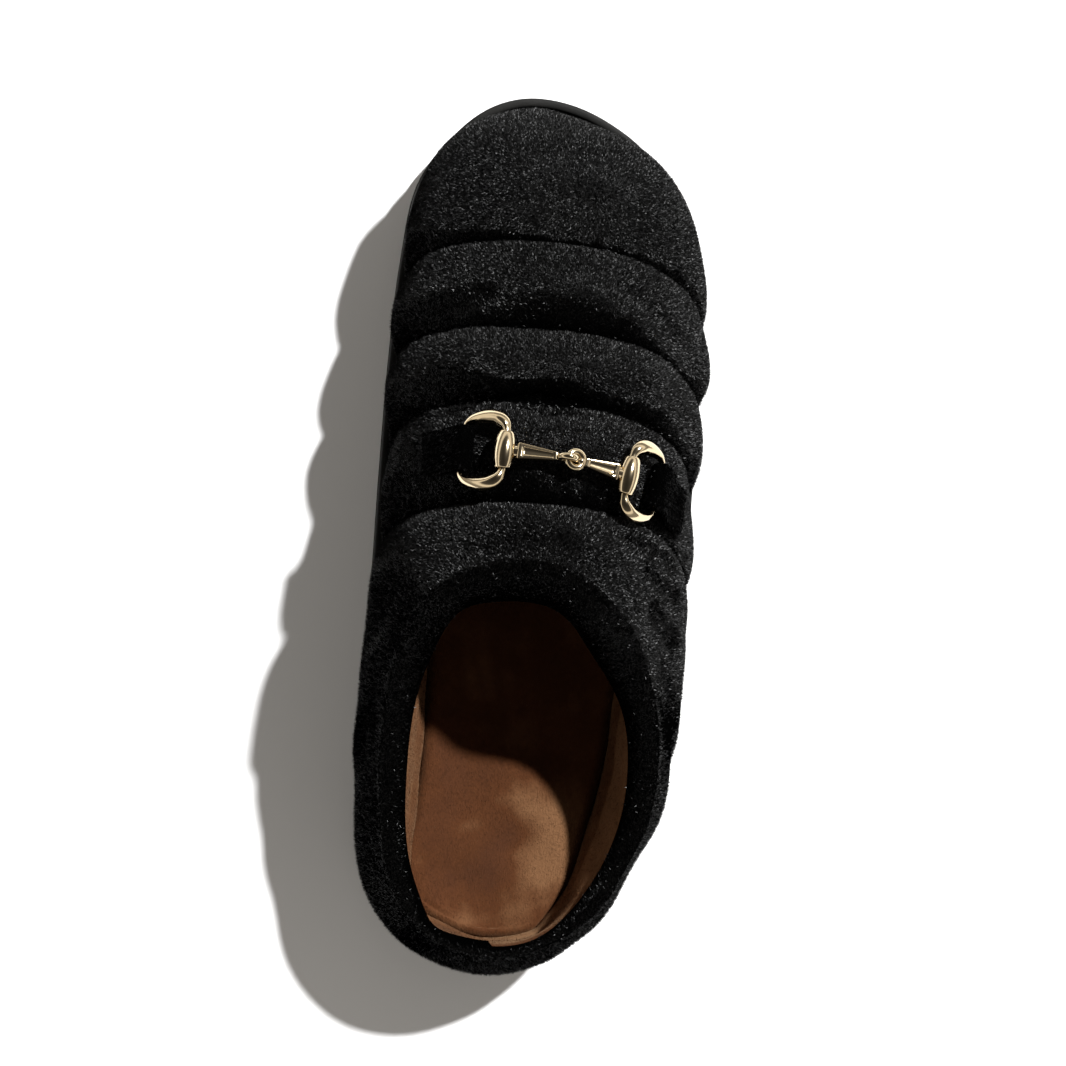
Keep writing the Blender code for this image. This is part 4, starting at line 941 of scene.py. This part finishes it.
def shape_lining():
    folds, arches = np.linspace(0, LAST_FOLD, LINING_VAMP_ROWS), np.linspace(0, math.pi, SKIN_COLUMNS + 1)
    vamp = vamp_inner(*np.meshgrid(folds, arches, indexing="ij"))
    toe_turn = toe_turns(arches)[1]
    lateral_turn, medial_turn = turn_of(lateral_end(folds)), -turn_of(medial_end(folds))
    for place, turn in ((np.s_[0, :], toe_turn), (np.s_[:, 0], lateral_turn), (np.s_[:, -1], medial_turn)):
        vamp[place] = feather(turn, crease_depth(turn))
    turns, _ = heel_turns(SKIN_HEEL_COLUMNS)
    crease = np.concatenate([vamp[-1], feather(turns, crease_depth(turns))])
    top, edge = ridge(around), lining_edge(around)
    top[:, 2] -= SKIN_SUNK + LINING_SUNK
    edge[:, :2] += unit((top - edge)[:, :2]) * LINING_SUNK
    start = plush_end(around) - LINING_TUCK
    rows = []
    for step in np.linspace(0, 1, LINING_ROLL_ROWS + 1)[:-1]:
        rows.append(roll_point(top, edge, (start + (1 - start) * step) * math.pi / 2))
    for step in np.linspace(1, 0, LINING_ROWS + 1):
        level = crease[:, :2] + (edge - crease)[:, :2] * step**LINING_CURVE
        rows.append(np.column_stack([level, crease[:, 2] + (edge - crease)[:, 2] * step]))
    wall = np.stack(rows)
    wall_numbers = numbered(*wall.shape[:2])
    ahead = numbered(LINING_VAMP_ROWS - 1, len(arches), wall_numbers.size)
    vamp_table = np.vstack([wall_numbers[-1, : len(arches)], ahead])
    points = np.concatenate([wall.reshape(-1, 3), vamp[-2::-1].reshape(-1, 3)])
    wall_quads = woven(wall_numbers, closed=True)
    quads = np.concatenate([wall_quads, woven(vamp_table)])
    inside = np.zeros(len(points))
    inside[wall_numbers] = np.sin(np.linspace(0, math.pi, len(wall)))[:, None]
    over_bed = points[:, 2] - sole_top(points[:, 1]) - FOOTBED_HEIGHT
    lift = LINING_BULGE * np.exp(-((over_bed / LINING_BULGE_REACH) ** 2))
    lift += LINING_UNEVEN * inside * ripple(points, LINING_WAVE, seed=31)
    points = points + point_normals(points, quads) * lift[:, None]
    return points, quads, len(wall_quads)


lining_points, lining_quads, wall_count = shape_lining()
lining = closed_mesh("plush_lining", *thicken(lining_points, lining_quads, LINING_THICKNESS))
tone_and_painted_light(lining, np.concatenate([lining_points, lining_points]))
fit(lining, caramel_plush, "caramel_plush")

lining_rng = np.random.default_rng(7)
lining_normals = point_normals(lining_points, lining_quads)
lining_weight = np.zeros(len(lining_quads))
wall_along = lining_points[lining_quads[:wall_count]].mean(axis=1)[:, 1]
lining_weight[:wall_count] = LINING_HIDDEN + (1 - LINING_HIDDEN) * (1 - ease(wall_along, *LINING_SHOWN))
roots, root_normals = sow(
    lining_rng, lining_points, lining_normals, lining_quads, lining_weight, LINING_PILE
)
fringe = ease(root_normals[:, 2:], *FRINGE_SLOPE)
fringe_length, fringe_lean = PILE_LENGTH * (1 + FRINGE_LONG * fringe), PILE_LEAN + FRINGE_UP * fringe
lining_pile = pile_piece(
    "lining_pile", lining_rng, roots, root_normals, np.tile(LINING_NAP, (LINING_PILE, 1)),
    fringe_length, PILE_WIDTH, fringe_lean, PILE_SPREAD, PILE_SCATTER, PILE_TWIST,
)
tone_and_painted_light(lining_pile, np.repeat(roots, 3, axis=0), fine=PILE_FINE)
fit(lining_pile, caramel_plush, "caramel_plush")

# Plush pile: short glossy black fibres standing out of the upper's cloth, stroked forwards and outwards.
# They catch the light as fine flecks on the open slopes and leave the sewn grooves and the roll dark.

PILE_REGIONS = (
    # name, from along, to along, blades
    ("toe", 0.078, 0.140, 158000),
    ("vamp", 0.030, 0.078, 144000),
    ("instep", -0.022, 0.030, 132000),
    ("heel", -0.140, -0.022, 84000),
)
FUR_LENGTH, FUR_WIDTH = 0.0008, 0.00019
FUR_LEAN, FUR_SPREAD, FUR_TWIST = 8, 18, 26  # degrees
FUR_LAID, FUR_SCATTER, FUR_LOOSE = 0.35, 0.60, 1.5
LAID_FACING = (0.94, 0.995)  # where the cloth itself faces FUR_FACE, the pile lies flatter and more loosely
FUR_STAND, STAND_SLOPE = 52, (0.25, 0.75)  # it stands up by this many degrees more on the upright sides
FUR_SPARSE = 0.16  # and is thinner there
FUR_LEVEL = 0.82  # brushing turns its faces this far towards one way on the open slopes
FUR_FACE = np.array((0.190, 0.230, 0.954))
FUR_WAY = math.radians(28)  # the stroke's turn outwards
FUR_TURN, FUR_TURN_WAVE = 0.40, 0.035  # how far it wanders
FUR_STROKE = 0.15
FUR_BRUSH_WAY, BRUSH_EDGE = math.radians(12), (-0.12, 0.18)
HEEL_BRUSHED, HEEL_FADE = 0.25, (-0.055, -0.020)  # behind the instep it is brushed less
HEEL_SPARSE, HEEL_FACING = 0.98, (0.1, 0.5)  # and is bare on the slopes that face the stroke
ROLL_SPARSE, ROLL_FADE = 0.88, (0.3, 0.8)  # it thins out over the roll
STROKED = (
    # from along, full from, full to, to along, how much further the puffs are brushed down their backs
    (0.080, 0.092, 0.180, 0.200, 0.26), (0.036, 0.044, 0.056, 0.062, 0.14),
)
CREASE_DARK = 0.0020  # pile pressed in as far as this is not brushed
SHADE_SPARSE = 0.35  # pile that is not brushed is thinner too
FUR_COLOUR, FUR_ROUGHNESS, FUR_GLOSS = (0.0004, 0.0004, 0.0004), 0.34, 0.155


def fur_finish(name, gloss):
    """Black fibre, silky or dull."""
    return start_material(name, FUR_COLOUR, FUR_ROUGHNESS, specular=gloss)[0]


def stroke(points):
    """The way that the plush is stroked, wandering a little."""
    wander = FUR_WAY + FUR_TURN * ripple(points, FUR_TURN_WAVE, seed=41)
    return np.column_stack([np.sin(wander), np.cos(wander), np.zeros(len(points))])


def facing(normals, way):
    """How much the cloth faces a way on the floor, given as a turn from the toe."""
    return normals[:, :2] @ (math.sin(way), math.cos(way))


def brushing(points, normals):
    """How far the pile is brushed down: on slopes facing the stroke, less at the heel, not in hollows."""
    towards = facing(normals, FUR_BRUSH_WAY)
    for start, full_start, full_end, end, more in STROKED:
        within = ease(points[:, 1], start, full_start)
        beyond = ease(points[:, 1], full_end, end)
        towards = towards + more * within * (1 - beyond)
    share = ease(towards, *BRUSH_EDGE)
    share *= HEEL_BRUSHED + (1 - HEEL_BRUSHED) * ease(points[:, 1], *HEEL_FADE)
    return share * (1 - np.clip(hollow_depth(points, creases) / CREASE_DARK, 0, 1))


fur = fur_finish("black_fur", FUR_GLOSS)
fur_rng = np.random.default_rng(17)
skin_normals = point_normals(skin, skin_quads)
quad_middle = skin[skin_quads].mean(axis=1)
quad_along = quad_middle[:, 1]
quad_normals = skin_normals[skin_quads].mean(axis=1)
thickness = FUR_SPARSE + (1 - FUR_SPARSE) * np.clip(quad_normals[:, 2], 0, 1)
thickness *= SHADE_SPARSE + (1 - SHADE_SPARSE) * brushing(quad_middle, quad_normals)
heel_bare = HEEL_SPARSE * ease(facing(quad_normals, FUR_WAY), *HEEL_FACING)
thickness *= 1 - heel_bare * (1 - ease(quad_along, *HEEL_FADE))
roll_bare = ROLL_SPARSE * ease(np.linspace(0, 1, ROLL_ROWS), *ROLL_FADE)
thickness[-ROLL_ROWS * len(around) :] *= np.repeat(1 - roll_bare, len(around))
for region, back_end, front_end, count in PILE_REGIONS:
    weight = thickness * ((quad_along >= back_end) & (quad_along < front_end))
    roots, root_normals = sow(fur_rng, skin, skin_normals, skin_quads, weight, count)
    brushed = brushing(roots, root_normals)[:, None]
    lies = unit(root_normals + (FUR_FACE - root_normals) * FUR_LEVEL * brushed)
    laid = ease((root_normals @ FUR_FACE)[:, None], *LAID_FACING) * brushed
    flat = 1 - (1 - FUR_LAID) * laid
    lean = FUR_LEAN * flat + FUR_STAND * (1 - ease(root_normals[:, 2:], *STAND_SLOPE)) * (1 - brushed)
    tuft = pile_piece(
        f"plush_pile_{region}", fur_rng, roots, lies, root_normals + FUR_STROKE * stroke(roots),
        FUR_LENGTH, FUR_WIDTH, lean, FUR_SPREAD * flat, FUR_SCATTER + FUR_LOOSE * laid, FUR_TWIST,
    )
    fit(tuft, fur, "black_plush")

# Rings of the bit: one gilt casting each side, a round bar inside the sleeve and two tapering horns that
# reach out to a straight outer bar, which the strap is folded over.

LATERAL, MEDIAL = 1, -1
SIDES = (("medial", MEDIAL), ("lateral", LATERAL))
ORNAMENT_BACK, ORNAMENT_SKEW, ORNAMENT_END = 0.13, 2.6, 0.0400
STRAP_HALF_FOLD = 0.22
BIT_CENTRE = 0.0074
BIT_REACH = {MEDIAL: 0.0182, LATERAL: 0.0168}
BIT_HEIGHT, LINK_HEIGHT = 0.0042, 0.0052
RING_DEPTH, RING_OUTER_HEIGHT = 0.0135, 0.0032
RING_RUNS = np.linspace(0.6, 1.2, 25)  # shares of the depth that are tried over the curve of the puff
RING_PATH = np.array([
    # out,    along,   wire
    (0.0000, 0.0000, 0.0013), (0.0000, 0.0052, 0.0012), (0.0002, 0.0063, 0.0013),
    (0.0010, 0.0080, 0.0019), (0.0030, 0.0095, 0.0023), (0.0060, 0.0101, 0.0022),
    (0.0090, 0.0098, 0.0018), (0.0116, 0.0089, 0.0013), (0.0131, 0.0076, 0.0008),
    (0.0135, 0.0060, 0.0007), (0.0135, 0.0000, 0.0010),
])
RING_STEPS, RING_SIDES, ROW_STEPS = 90, 24, 721
UPWARDS = np.array([0, 0, 1.0])
RING_EDGE = 1.6  # the horns have a soft ridge: 2 is round, 1 is a square on its corner
GILT = (0.63, 0.515, 0.34)

row_arches = np.linspace(0.0, math.pi, ROW_STEPS)
row_run = run_along(vamp_outer(STRAP_FOLD, row_arches))
row_run = np.interp(math.pi / 2, row_arches, row_run) - row_run


def arch_at(distance):
    """The arch angle at a distance from the crown; lateral distances are positive."""
    return np.interp(-np.asarray(distance, float), -row_run, row_arches)


def ornament_fold(distance):
    """The line that the ornament and straps follow: a little behind the puff's middle, and askew."""
    near = 1 - ease(np.abs(distance), ORNAMENT_END, 2 * ORNAMENT_END)
    return STRAP_FOLD + (ORNAMENT_BACK + ORNAMENT_SKEW * np.asarray(distance, float)) * near


def on_puff(distance, height):
    """A place over the ornament's puff; height is off the plush."""
    return vamp_outer(ornament_fold(distance), arch_at(distance), np.asarray(height, float))


def along_puff(distance):
    """The way back along the foot over the padding, as a strap lies across it."""
    fold, arch = ornament_fold(distance), arch_at(distance)
    return unit(vamp_outer(fold + STRAP_HALF_FOLD, arch) - vamp_outer(fold - STRAP_HALF_FOLD, arch))


def ring_run(side):
    """How far round the puff a ring's outer bar lies from its inner one."""
    bar = on_puff(BIT_CENTRE + side * BIT_REACH[side], BIT_HEIGHT)
    runs = RING_RUNS * RING_DEPTH
    outer = on_puff(BIT_CENTRE + side * (BIT_REACH[side] + runs), RING_OUTER_HEIGHT)
    return float(np.interp(RING_DEPTH, np.linalg.norm(outer - bar, axis=1), runs))


def bit_frames(side):
    """The link, a ring's bar, and the ways in along the arm, out along the ring and along the foot."""
    link = on_puff(BIT_CENTRE, LINK_HEIGHT)
    bar = on_puff(BIT_CENTRE + side * BIT_REACH[side], BIT_HEIGHT)
    outer = on_puff(BIT_CENTRE + side * (BIT_REACH[side] + ring_run(side)), RING_OUTER_HEIGHT)
    inward = unit(link - bar)
    foot = along_puff(BIT_CENTRE + side * (BIT_REACH[side] + RING_DEPTH / 2))
    foot = unit(foot - inward * np.dot(foot, inward))
    out = unit((outer - bar) - foot * np.dot(outer - bar, foot))
    return link, bar, inward, out, foot


def placed(points, origin, x_axis, y_axis):
    """Points in a frame of their own, put on the shoe."""
    axes = np.stack([x_axis, y_axis, np.cross(x_axis, y_axis)])
    return origin + np.asarray(points) @ axes


def circle(sides):
    """Cosines and sines of even steps round a circle."""
    angle = np.arange(sides) * 2 * math.pi / sides
    return np.cos(angle), np.sin(angle)


def tube(path, radii, sides, upright, power=2.0):
    """A closed loop of wire; power is the roundness of its section."""
    tangent = unit(np.roll(path, -1, axis=0) - np.roll(path, 1, axis=0))
    side = unit(np.cross(tangent, upright))
    up = np.cross(side, tangent)
    c, s = circle(sides)
    reach = (np.abs(c) ** power + np.abs(s) ** power) ** (-1 / power)
    section = (c * reach)[None, :, None] * side[:, None] + (s * reach)[None, :, None] * up[:, None]
    points = path[:, None] + np.asarray(radii)[:, None, None] * section
    numbers = numbered(len(path), sides)
    return points.reshape(-1, 3), woven(np.vstack([numbers, numbers[:1]]), closed=True)


def gilt_finish():
    """Polished pale gilding with a faint unevenness from the casting under it."""
    material, tree, shader = start_material("pale_gilt", GILT, roughness=0.12)
    shader.inputs["Metallic"].default_value = 1.0
    grain(tree, shader, scale=420, detail=2, strength=0.05, distance=0.0004)
    return material


def build_ring(name, side):
    _, bar, _, out, foot = bit_frames(side)
    run = run_along(RING_PATH[:, :2])
    at = np.linspace(0, run[-1], RING_STEPS + 1)
    half = np.column_stack([smooth_through(run, RING_PATH[:, i])(at) for i in range(3)])
    whole = np.concatenate([half, (half * (1, -1, 1))[-2:0:-1]])
    path = np.column_stack([whole[:, :2], np.zeros(len(whole))])
    points, quads = tube(path, whole[:, 2], RING_SIDES, UPWARDS, RING_EDGE)
    return closed_mesh(name, placed(points, bar, out, foot), quads)


gilt = gilt_finish()
for word, side in SIDES:
    fit(build_ring(f"gilt_ring_{word}", side), gilt, "gilt", f"bit_ring_{word}")

# Arms of the bit: a turned sleeve that swings on the ring's bar, a four-sided tapering bar with a sunk
# panel on each face, and a round eye. The two eyes are linked, one lying flat and the other on edge.

SLEEVE_LENGTH, SLEEVE_SIDES = 0.0112, 48
SLEEVE_BORE, SLEEVE_BORE_ENDS = 0.0016, (0.49, -0.49)
SLEEVE_PROFILE = (
    # along, radius
    (-0.50, 0.00185), (-0.495, 0.00210), (-0.47, 0.00230), (-0.42, 0.00248), (-0.30, 0.00286),
    (-0.15, 0.00312), (0.00, 0.00320), (0.15, 0.00312), (0.30, 0.00286), (0.42, 0.00248),
    (0.47, 0.00230), (0.495, 0.00210), (0.50, 0.00185),
)
BAR_START, BAR_SHORT = 0.0036, 0.0036
BAR_WIDE, BAR_NARROW = 0.0025, 0.0011
BAR_THICK_SHARE = 0.82
BAR_STEPS = 40
BAR_SECTION = (
    # across, up: one quarter-turn of the section, sunk panel first
    (0.00, 0.78), (0.50, 0.78), (0.57, 0.84), (0.64, 1.00), (0.86, 1.00), (0.96, 0.96), (1.00, 0.86),
    (1.00, 0.00),
)
BAR_TIPS = (0.80, 0.94)  # both ends are drawn in over two steps
PANEL_START, PANEL_END, PANEL_RIM = (0.13, 0.16), (0.84, 0.87), 0.9
BAR_ROOT_RADIUS, BAR_ROOT_BACK, BAR_ROOT_AHEAD = 0.0019, 0.0022, 0.0004
BAR_BEAD, BAR_BEAD_ARC, TURNED_SIDES = 0.0013, np.linspace(0.15, 2.99, 14), 24
EYE_RADIUS, EYE_WIRE, EYE_STEPS, EYE_SIDES = 0.0023, 0.00108, 48, 20
SIDEWAYS = np.array([0, 1.0, 0])


def capped(rings, start, end):
    """A solid through a row of rings, with a fan of triangles to a middle point at either end."""
    count = len(rings[0])
    numbers = numbered(len(rings), count)
    points = np.concatenate(rings + [[(start, 0, 0), (end, 0, 0)]])
    first, last = len(points) - 2, len(points) - 1
    tips = [(first, numbers[0][i], numbers[0][i - 1]) for i in range(count)]
    tips += [(last, numbers[-1][i - 1], numbers[-1][i]) for i in range(count)]
    return points, woven(numbers, closed=True), tips


def turned(profile, sides):
    """A solid turned about its first axis, from rows of place and radius; the ends are closed."""
    c, s = circle(sides)
    rings = [np.column_stack([np.full(sides, at), r * c, r * s]) for at, r in profile]
    return capped(rings, profile[0][0], profile[-1][0])


def sleeve_shape():
    profile = [(SLEEVE_LENGTH * a, r) for a, r in SLEEVE_PROFILE]
    profile += [(SLEEVE_LENGTH * a, SLEEVE_BORE) for a in SLEEVE_BORE_ENDS]
    c, s = circle(SLEEVE_SIDES)
    rings = [np.column_stack([r * c, np.full(SLEEVE_SIDES, at), r * s]) for at, r in profile]
    numbers = numbered(len(rings), SLEEVE_SIDES)
    return np.concatenate(rings), woven(np.vstack([numbers, numbers[:1]]), closed=True), []


def bar_shape(reach):
    """The tapering bar: its section is swept from the sleeve to the bead, with the panels sunk between."""
    quarter = np.array(BAR_SECTION)
    right = np.concatenate([quarter, quarter[-2::-1] * (1, -1)])
    section = np.concatenate([right, (right * (-1, 1))[-2:0:-1]])
    flush = np.where(np.abs(section[:, 0]) < PANEL_RIM, np.sign(section[:, 1]), section[:, 1])
    start, end = BAR_START, reach - BAR_SHORT
    rings = []
    for share in np.linspace(0, 1, BAR_STEPS + 1):
        wide = BAR_WIDE + (BAR_NARROW - BAR_WIDE) * share
        tip = min(share, 1 - share) * BAR_STEPS
        wide *= BAR_TIPS[int(tip)] if tip < 2 else 1.0
        sunk = ease(share, *PANEL_START) * (1 - ease(share, *PANEL_END))
        up = flush + (section[:, 1] - flush) * sunk
        at = np.full(len(section), start + (end - start) * share)
        rings.append(np.column_stack([at, section[:, 0] * wide, up * wide * BAR_THICK_SHARE]))
    return capped(rings, start, end)


def eye_shape(reach, flat):
    c, s = circle(EYE_STEPS)
    ahead, beside = reach - EYE_RADIUS / 2 + EYE_RADIUS * c, EYE_RADIUS * s
    level = np.zeros_like(beside)
    path = np.column_stack([ahead, beside, level] if flat else [ahead, level, beside])
    return *tube(path, np.full(EYE_STEPS, EYE_WIRE), EYE_SIDES, UPWARDS if flat else SIDEWAYS), []


def build_arm(name, side):
    link, bar, inward, _, foot = bit_frames(side)
    reach = float(np.linalg.norm(link - bar))
    neck = reach - BAR_SHORT
    bead = [(neck + BAR_BEAD * (0.5 - math.cos(t)), BAR_BEAD * math.sin(t)) for t in BAR_BEAD_ARC]
    root = [(BAR_START - BAR_ROOT_BACK, BAR_ROOT_RADIUS), (BAR_START + BAR_ROOT_AHEAD, BAR_ROOT_RADIUS)]
    shapes = (
        sleeve_shape(),
        turned(root, TURNED_SIDES),
        bar_shape(reach),
        turned(bead, TURNED_SIDES),
        eye_shape(reach, side == LATERAL),
    )
    points, quads, tips, count = [], [], [], 0
    for shape_points, shape_quads, shape_tips in shapes:
        points.append(placed(shape_points, bar, inward, foot))
        quads.append(shape_quads + count)
        tips += [tuple(np.array(tip) + count) for tip in shape_tips]
        count += len(shape_points)
    return closed_mesh(name, np.concatenate(points), np.concatenate(quads), tips, sharp_angle=42)


for word, side in SIDES:
    fit(build_arm(f"gilt_arm_{word}", side), gilt, "gilt", f"bit_arm_{word}")

# Straps: black velvet ribbon, sewn in at the sole and brought up under the plush. Near the ring it comes out
# over the padding, is folded round the ring's outer bar and sewn back down on itself.

RING_WIRE = 0.0011
STRAP_WIDTH, STRAP_THICK, STRAP_REST = 0.0132, 0.0015, 0.0014
STRAP_LAP, STRAP_LAP_STEPS = 0.0150, (0.0055, 0.0085, 0.0115)
STRAP_LAP_GAP, STRAP_LAP_RISE, STRAP_SLACK = 0.0004, 0.0008, 0.0006
STRAP_END_OVER_SOLE = 0.0035
STRAP_SINK, STRAP_SINK_RUN = 0.0030, 0.0120  # below its lap the ribbon goes in under the plush
STRAP_STEPS, STRAP_FOLD_STEPS, STRAP_FOLD_ARC = 7, 7, (-70, -290)  # the fold's arc in degrees
STRAP_SECTIONS = 110
STRAP_SQUARE = 0.0030
STRAP_ACROSS = np.array((-0.5, -0.495, -0.48, -0.45, -0.38, -0.25, 0.0, 0.25, 0.38, 0.45, 0.48, 0.495, 0.5))
STRAP_EDGE = np.array((0.30, 0.55, 0.80, 0.95, 1.0, 1.0, 1.0, 1.0, 1.0, 0.95, 0.80, 0.55, 0.30))
VELVET, VELVET_WEAVE, VELVET_GLOSS = (0.0004, 0.0004, 0.0004), 2600, 0.035
STRAP_PILE, STRAP_NAP = 15000, (0.0, -1.0, 0.0)
VELVET_LENGTH, VELVET_SCATTER = 0.0009, 0.5
VELVET_LEAN, VELVET_SPREAD, VELVET_TWIST = 35, 12, 40  # degrees


def strap_path(side):
    """Distance from the ring's bar outwards and height, along the ribbon's middle."""
    bend = RING_WIRE + STRAP_SLACK + STRAP_THICK / 2
    outer = BIT_REACH[side] + ring_run(side)
    row_end = row_run[0] if side == LATERAL else -row_run[-1]
    reach = row_end - side * BIT_CENTRE - outer - STRAP_END_OVER_SOLE
    low = [
        (x, STRAP_REST - STRAP_SINK * ease(x, STRAP_LAP, STRAP_LAP + STRAP_SINK_RUN))
        for x in np.linspace(reach, STRAP_LAP, STRAP_STEPS)
    ]
    low += [(x, STRAP_REST) for x in STRAP_LAP_STEPS[::-1]]
    turn = np.radians(np.linspace(*STRAP_FOLD_ARC, STRAP_FOLD_STEPS))
    fold = [(bend * math.cos(t), RING_OUTER_HEIGHT + bend * math.sin(t)) for t in turn]
    lap_height = STRAP_REST + STRAP_THICK + STRAP_LAP_GAP
    lap = [(STRAP_LAP_STEPS[0], lap_height + STRAP_LAP_RISE)]
    lap += [(x, lap_height) for x in (*STRAP_LAP_STEPS[1:], STRAP_LAP)]
    path = np.array(low + fold + lap)
    path[:, 0] += outer
    run = run_along(path)
    at = np.linspace(0, run[-1], STRAP_SECTIONS)
    return np.column_stack([smooth_through(run, path[:, i])(at) for i in range(2)])


def strap_point(side, out, across, height):
    """A place on a strap, which lies flat across its width; near the ring it follows the ring's bar."""
    _, bar, _, _, foot = bit_frames(side)
    along = along_puff(BIT_CENTRE + side * out)
    ring = BIT_REACH[side] + ring_run(side)
    share = ease(out, ring + STRAP_SQUARE, ring + STRAP_LAP)[:, None]
    width = unit(foot * (1 - share) + along * share)
    drift = np.dot(on_puff(BIT_CENTRE + side * ring, RING_OUTER_HEIGHT) - bar, foot)
    return on_puff(BIT_CENTRE + side * out, height) - foot * drift * (1 - share) + width * across[:, None]


def build_strap(name, side):
    path = strap_path(side)
    tangent = unit(np.gradient(path, axis=0))
    outward = np.column_stack([-tangent[:, 1], tangent[:, 0]])
    half = STRAP_EDGE * STRAP_THICK / 2
    sheets = []
    for sign in (1, -1):
        off = path[:, None] + sign * outward[:, None] * half[None, :, None]
        across = np.tile(STRAP_ACROSS * STRAP_WIDTH, len(path))
        flat = strap_point(side, off[..., 0].ravel(), across, off[..., 1].ravel())
        sheets.append(flat.reshape(len(path), len(half), 3))
    loop = np.concatenate([sheets[0], sheets[1][:, ::-1]], axis=1)
    half_way = loop.shape[1] // 2
    numbers = numbered(*loop.shape[:2])
    ends = [np.column_stack([row[:half_way], row[: half_way - 1 : -1]]) for row in numbers[[0, -1]]]
    quads = np.concatenate([woven(numbers, closed=True), woven(ends[0]), woven(ends[1])])
    return closed_mesh(name, loop.reshape(-1, 3), quads)


velvet = cloth_finish("black_velvet", VELVET, VELVET_WEAVE)
velvet_nap = fur_finish("velvet_nap", VELVET_GLOSS)
strap_rng = np.random.default_rng(23)
for word, side in SIDES:
    strap = build_strap(f"velvet_strap_{word}", side)
    fit(strap, velvet, "velvet", f"strap_{word}")
    strap_points = np.array([v.co for v in strap.data.vertices])
    strap_quads = np.array([face.vertices for face in strap.data.polygons])
    strap_normals = point_normals(strap_points, strap_quads)
    roots, root_normals = sow(
        strap_rng, strap_points, strap_normals, strap_quads, np.ones(len(strap_quads)), STRAP_PILE
    )
    strap_pile = pile_piece(
        f"velvet_pile_{word}", strap_rng, roots, root_normals, np.tile(STRAP_NAP, (STRAP_PILE, 1)),
        VELVET_LENGTH, FUR_WIDTH, VELVET_LEAN, VELVET_SPREAD, VELVET_SCATTER, VELVET_TWIST,
    )
    fit(strap_pile, velvet_nap, "velvet")

# Stage: a plain pale floor, one sun from the shoe's front right and a low ring of light in the sky.
# The photo's camera is about a metre overhead, to the medial side, and turned so that the toe points
# up the picture.

FLOOR_SIZE = 2.4
FLOOR_COLOUR = (0.90, 0.90, 0.90)
ROLL = math.radians(4)
PICTURE_RIGHT = Vector((math.cos(ROLL), math.sin(ROLL), 0))
PICTURE_UP = Vector((-math.sin(ROLL), math.cos(ROLL), 0))
TO_SUN = PICTURE_RIGHT * 0.60 + PICTURE_UP * 0.61 + Vector((0, 0, 1))
SUN_STRENGTH, SUN_WIDTH = 8.0, math.radians(3.0)
SKY = (
    # height of the sky from the horizon (0) to overhead (1), brightness
    (0.00, 0.30), (0.28, 0.36), (0.36, 1.15), (0.52, 1.15), (0.62, 0.09), (1.00, 0.03),
)
SKY_TINT = (1.0, 0.945, 0.87)
CAMERA_PLACE = Vector((-0.0698, -0.00855, 1.0))
CAMERA_AIM = Vector((-0.0005, 0.0, 0.040))
LENS, SENSOR = 107.0, 36.0


def build_floor():
    half = FLOOR_SIZE / 2
    corners = [(-half, -half, 0), (half, -half, 0), (half, half, 0), (-half, half, 0)]
    floor = lay_mesh("floor", corners, [(0, 1, 2, 3)])
    material = start_material("pale_floor", FLOOR_COLOUR, roughness=0.8, specular=0.1)[0]
    floor.data.materials.append(material)


def light_scene():
    sun = bpy.data.lights.new("sun", "SUN")
    sun.energy = SUN_STRENGTH
    sun.angle = SUN_WIDTH
    lamp = bpy.data.objects.new("sun", sun)
    lamp.rotation_mode = "QUATERNION"
    lamp.rotation_quaternion = TO_SUN.to_track_quat("Z", "Y")
    bpy.context.scene.collection.objects.link(lamp)
    world = bpy.data.worlds.new("studio")
    world.use_nodes = True
    tree = world.node_tree
    way = tree.nodes.new("ShaderNodeTexCoord")
    split = tree.nodes.new("ShaderNodeSeparateXYZ")
    tree.links.new(way.outputs["Generated"], split.inputs["Vector"])
    stops = [(height, tuple(level * tint for tint in SKY_TINT)) for height, level in SKY]
    sky = ramp_node(tree, split.outputs["Z"], *stops)
    tree.links.new(sky.outputs["Color"], tree.nodes["Background"].inputs["Color"])
    bpy.context.scene.world = world


def place_camera():
    lens = bpy.data.cameras.new("camera")
    lens.lens = LENS
    lens.sensor_width = SENSOR
    camera = bpy.data.objects.new("camera", lens)
    back = (CAMERA_PLACE - CAMERA_AIM).normalized()
    right = PICTURE_UP.cross(back).normalized()
    up = back.cross(right)
    camera.matrix_world = Matrix.Translation(CAMERA_PLACE) @ Matrix((right, up, back)).transposed().to_4x4()
    bpy.context.scene.collection.objects.link(camera)
    bpy.context.scene.camera = camera


build_floor()
light_scene()
place_camera()
bpy.context.scene.view_settings.view_transform = "Standard"
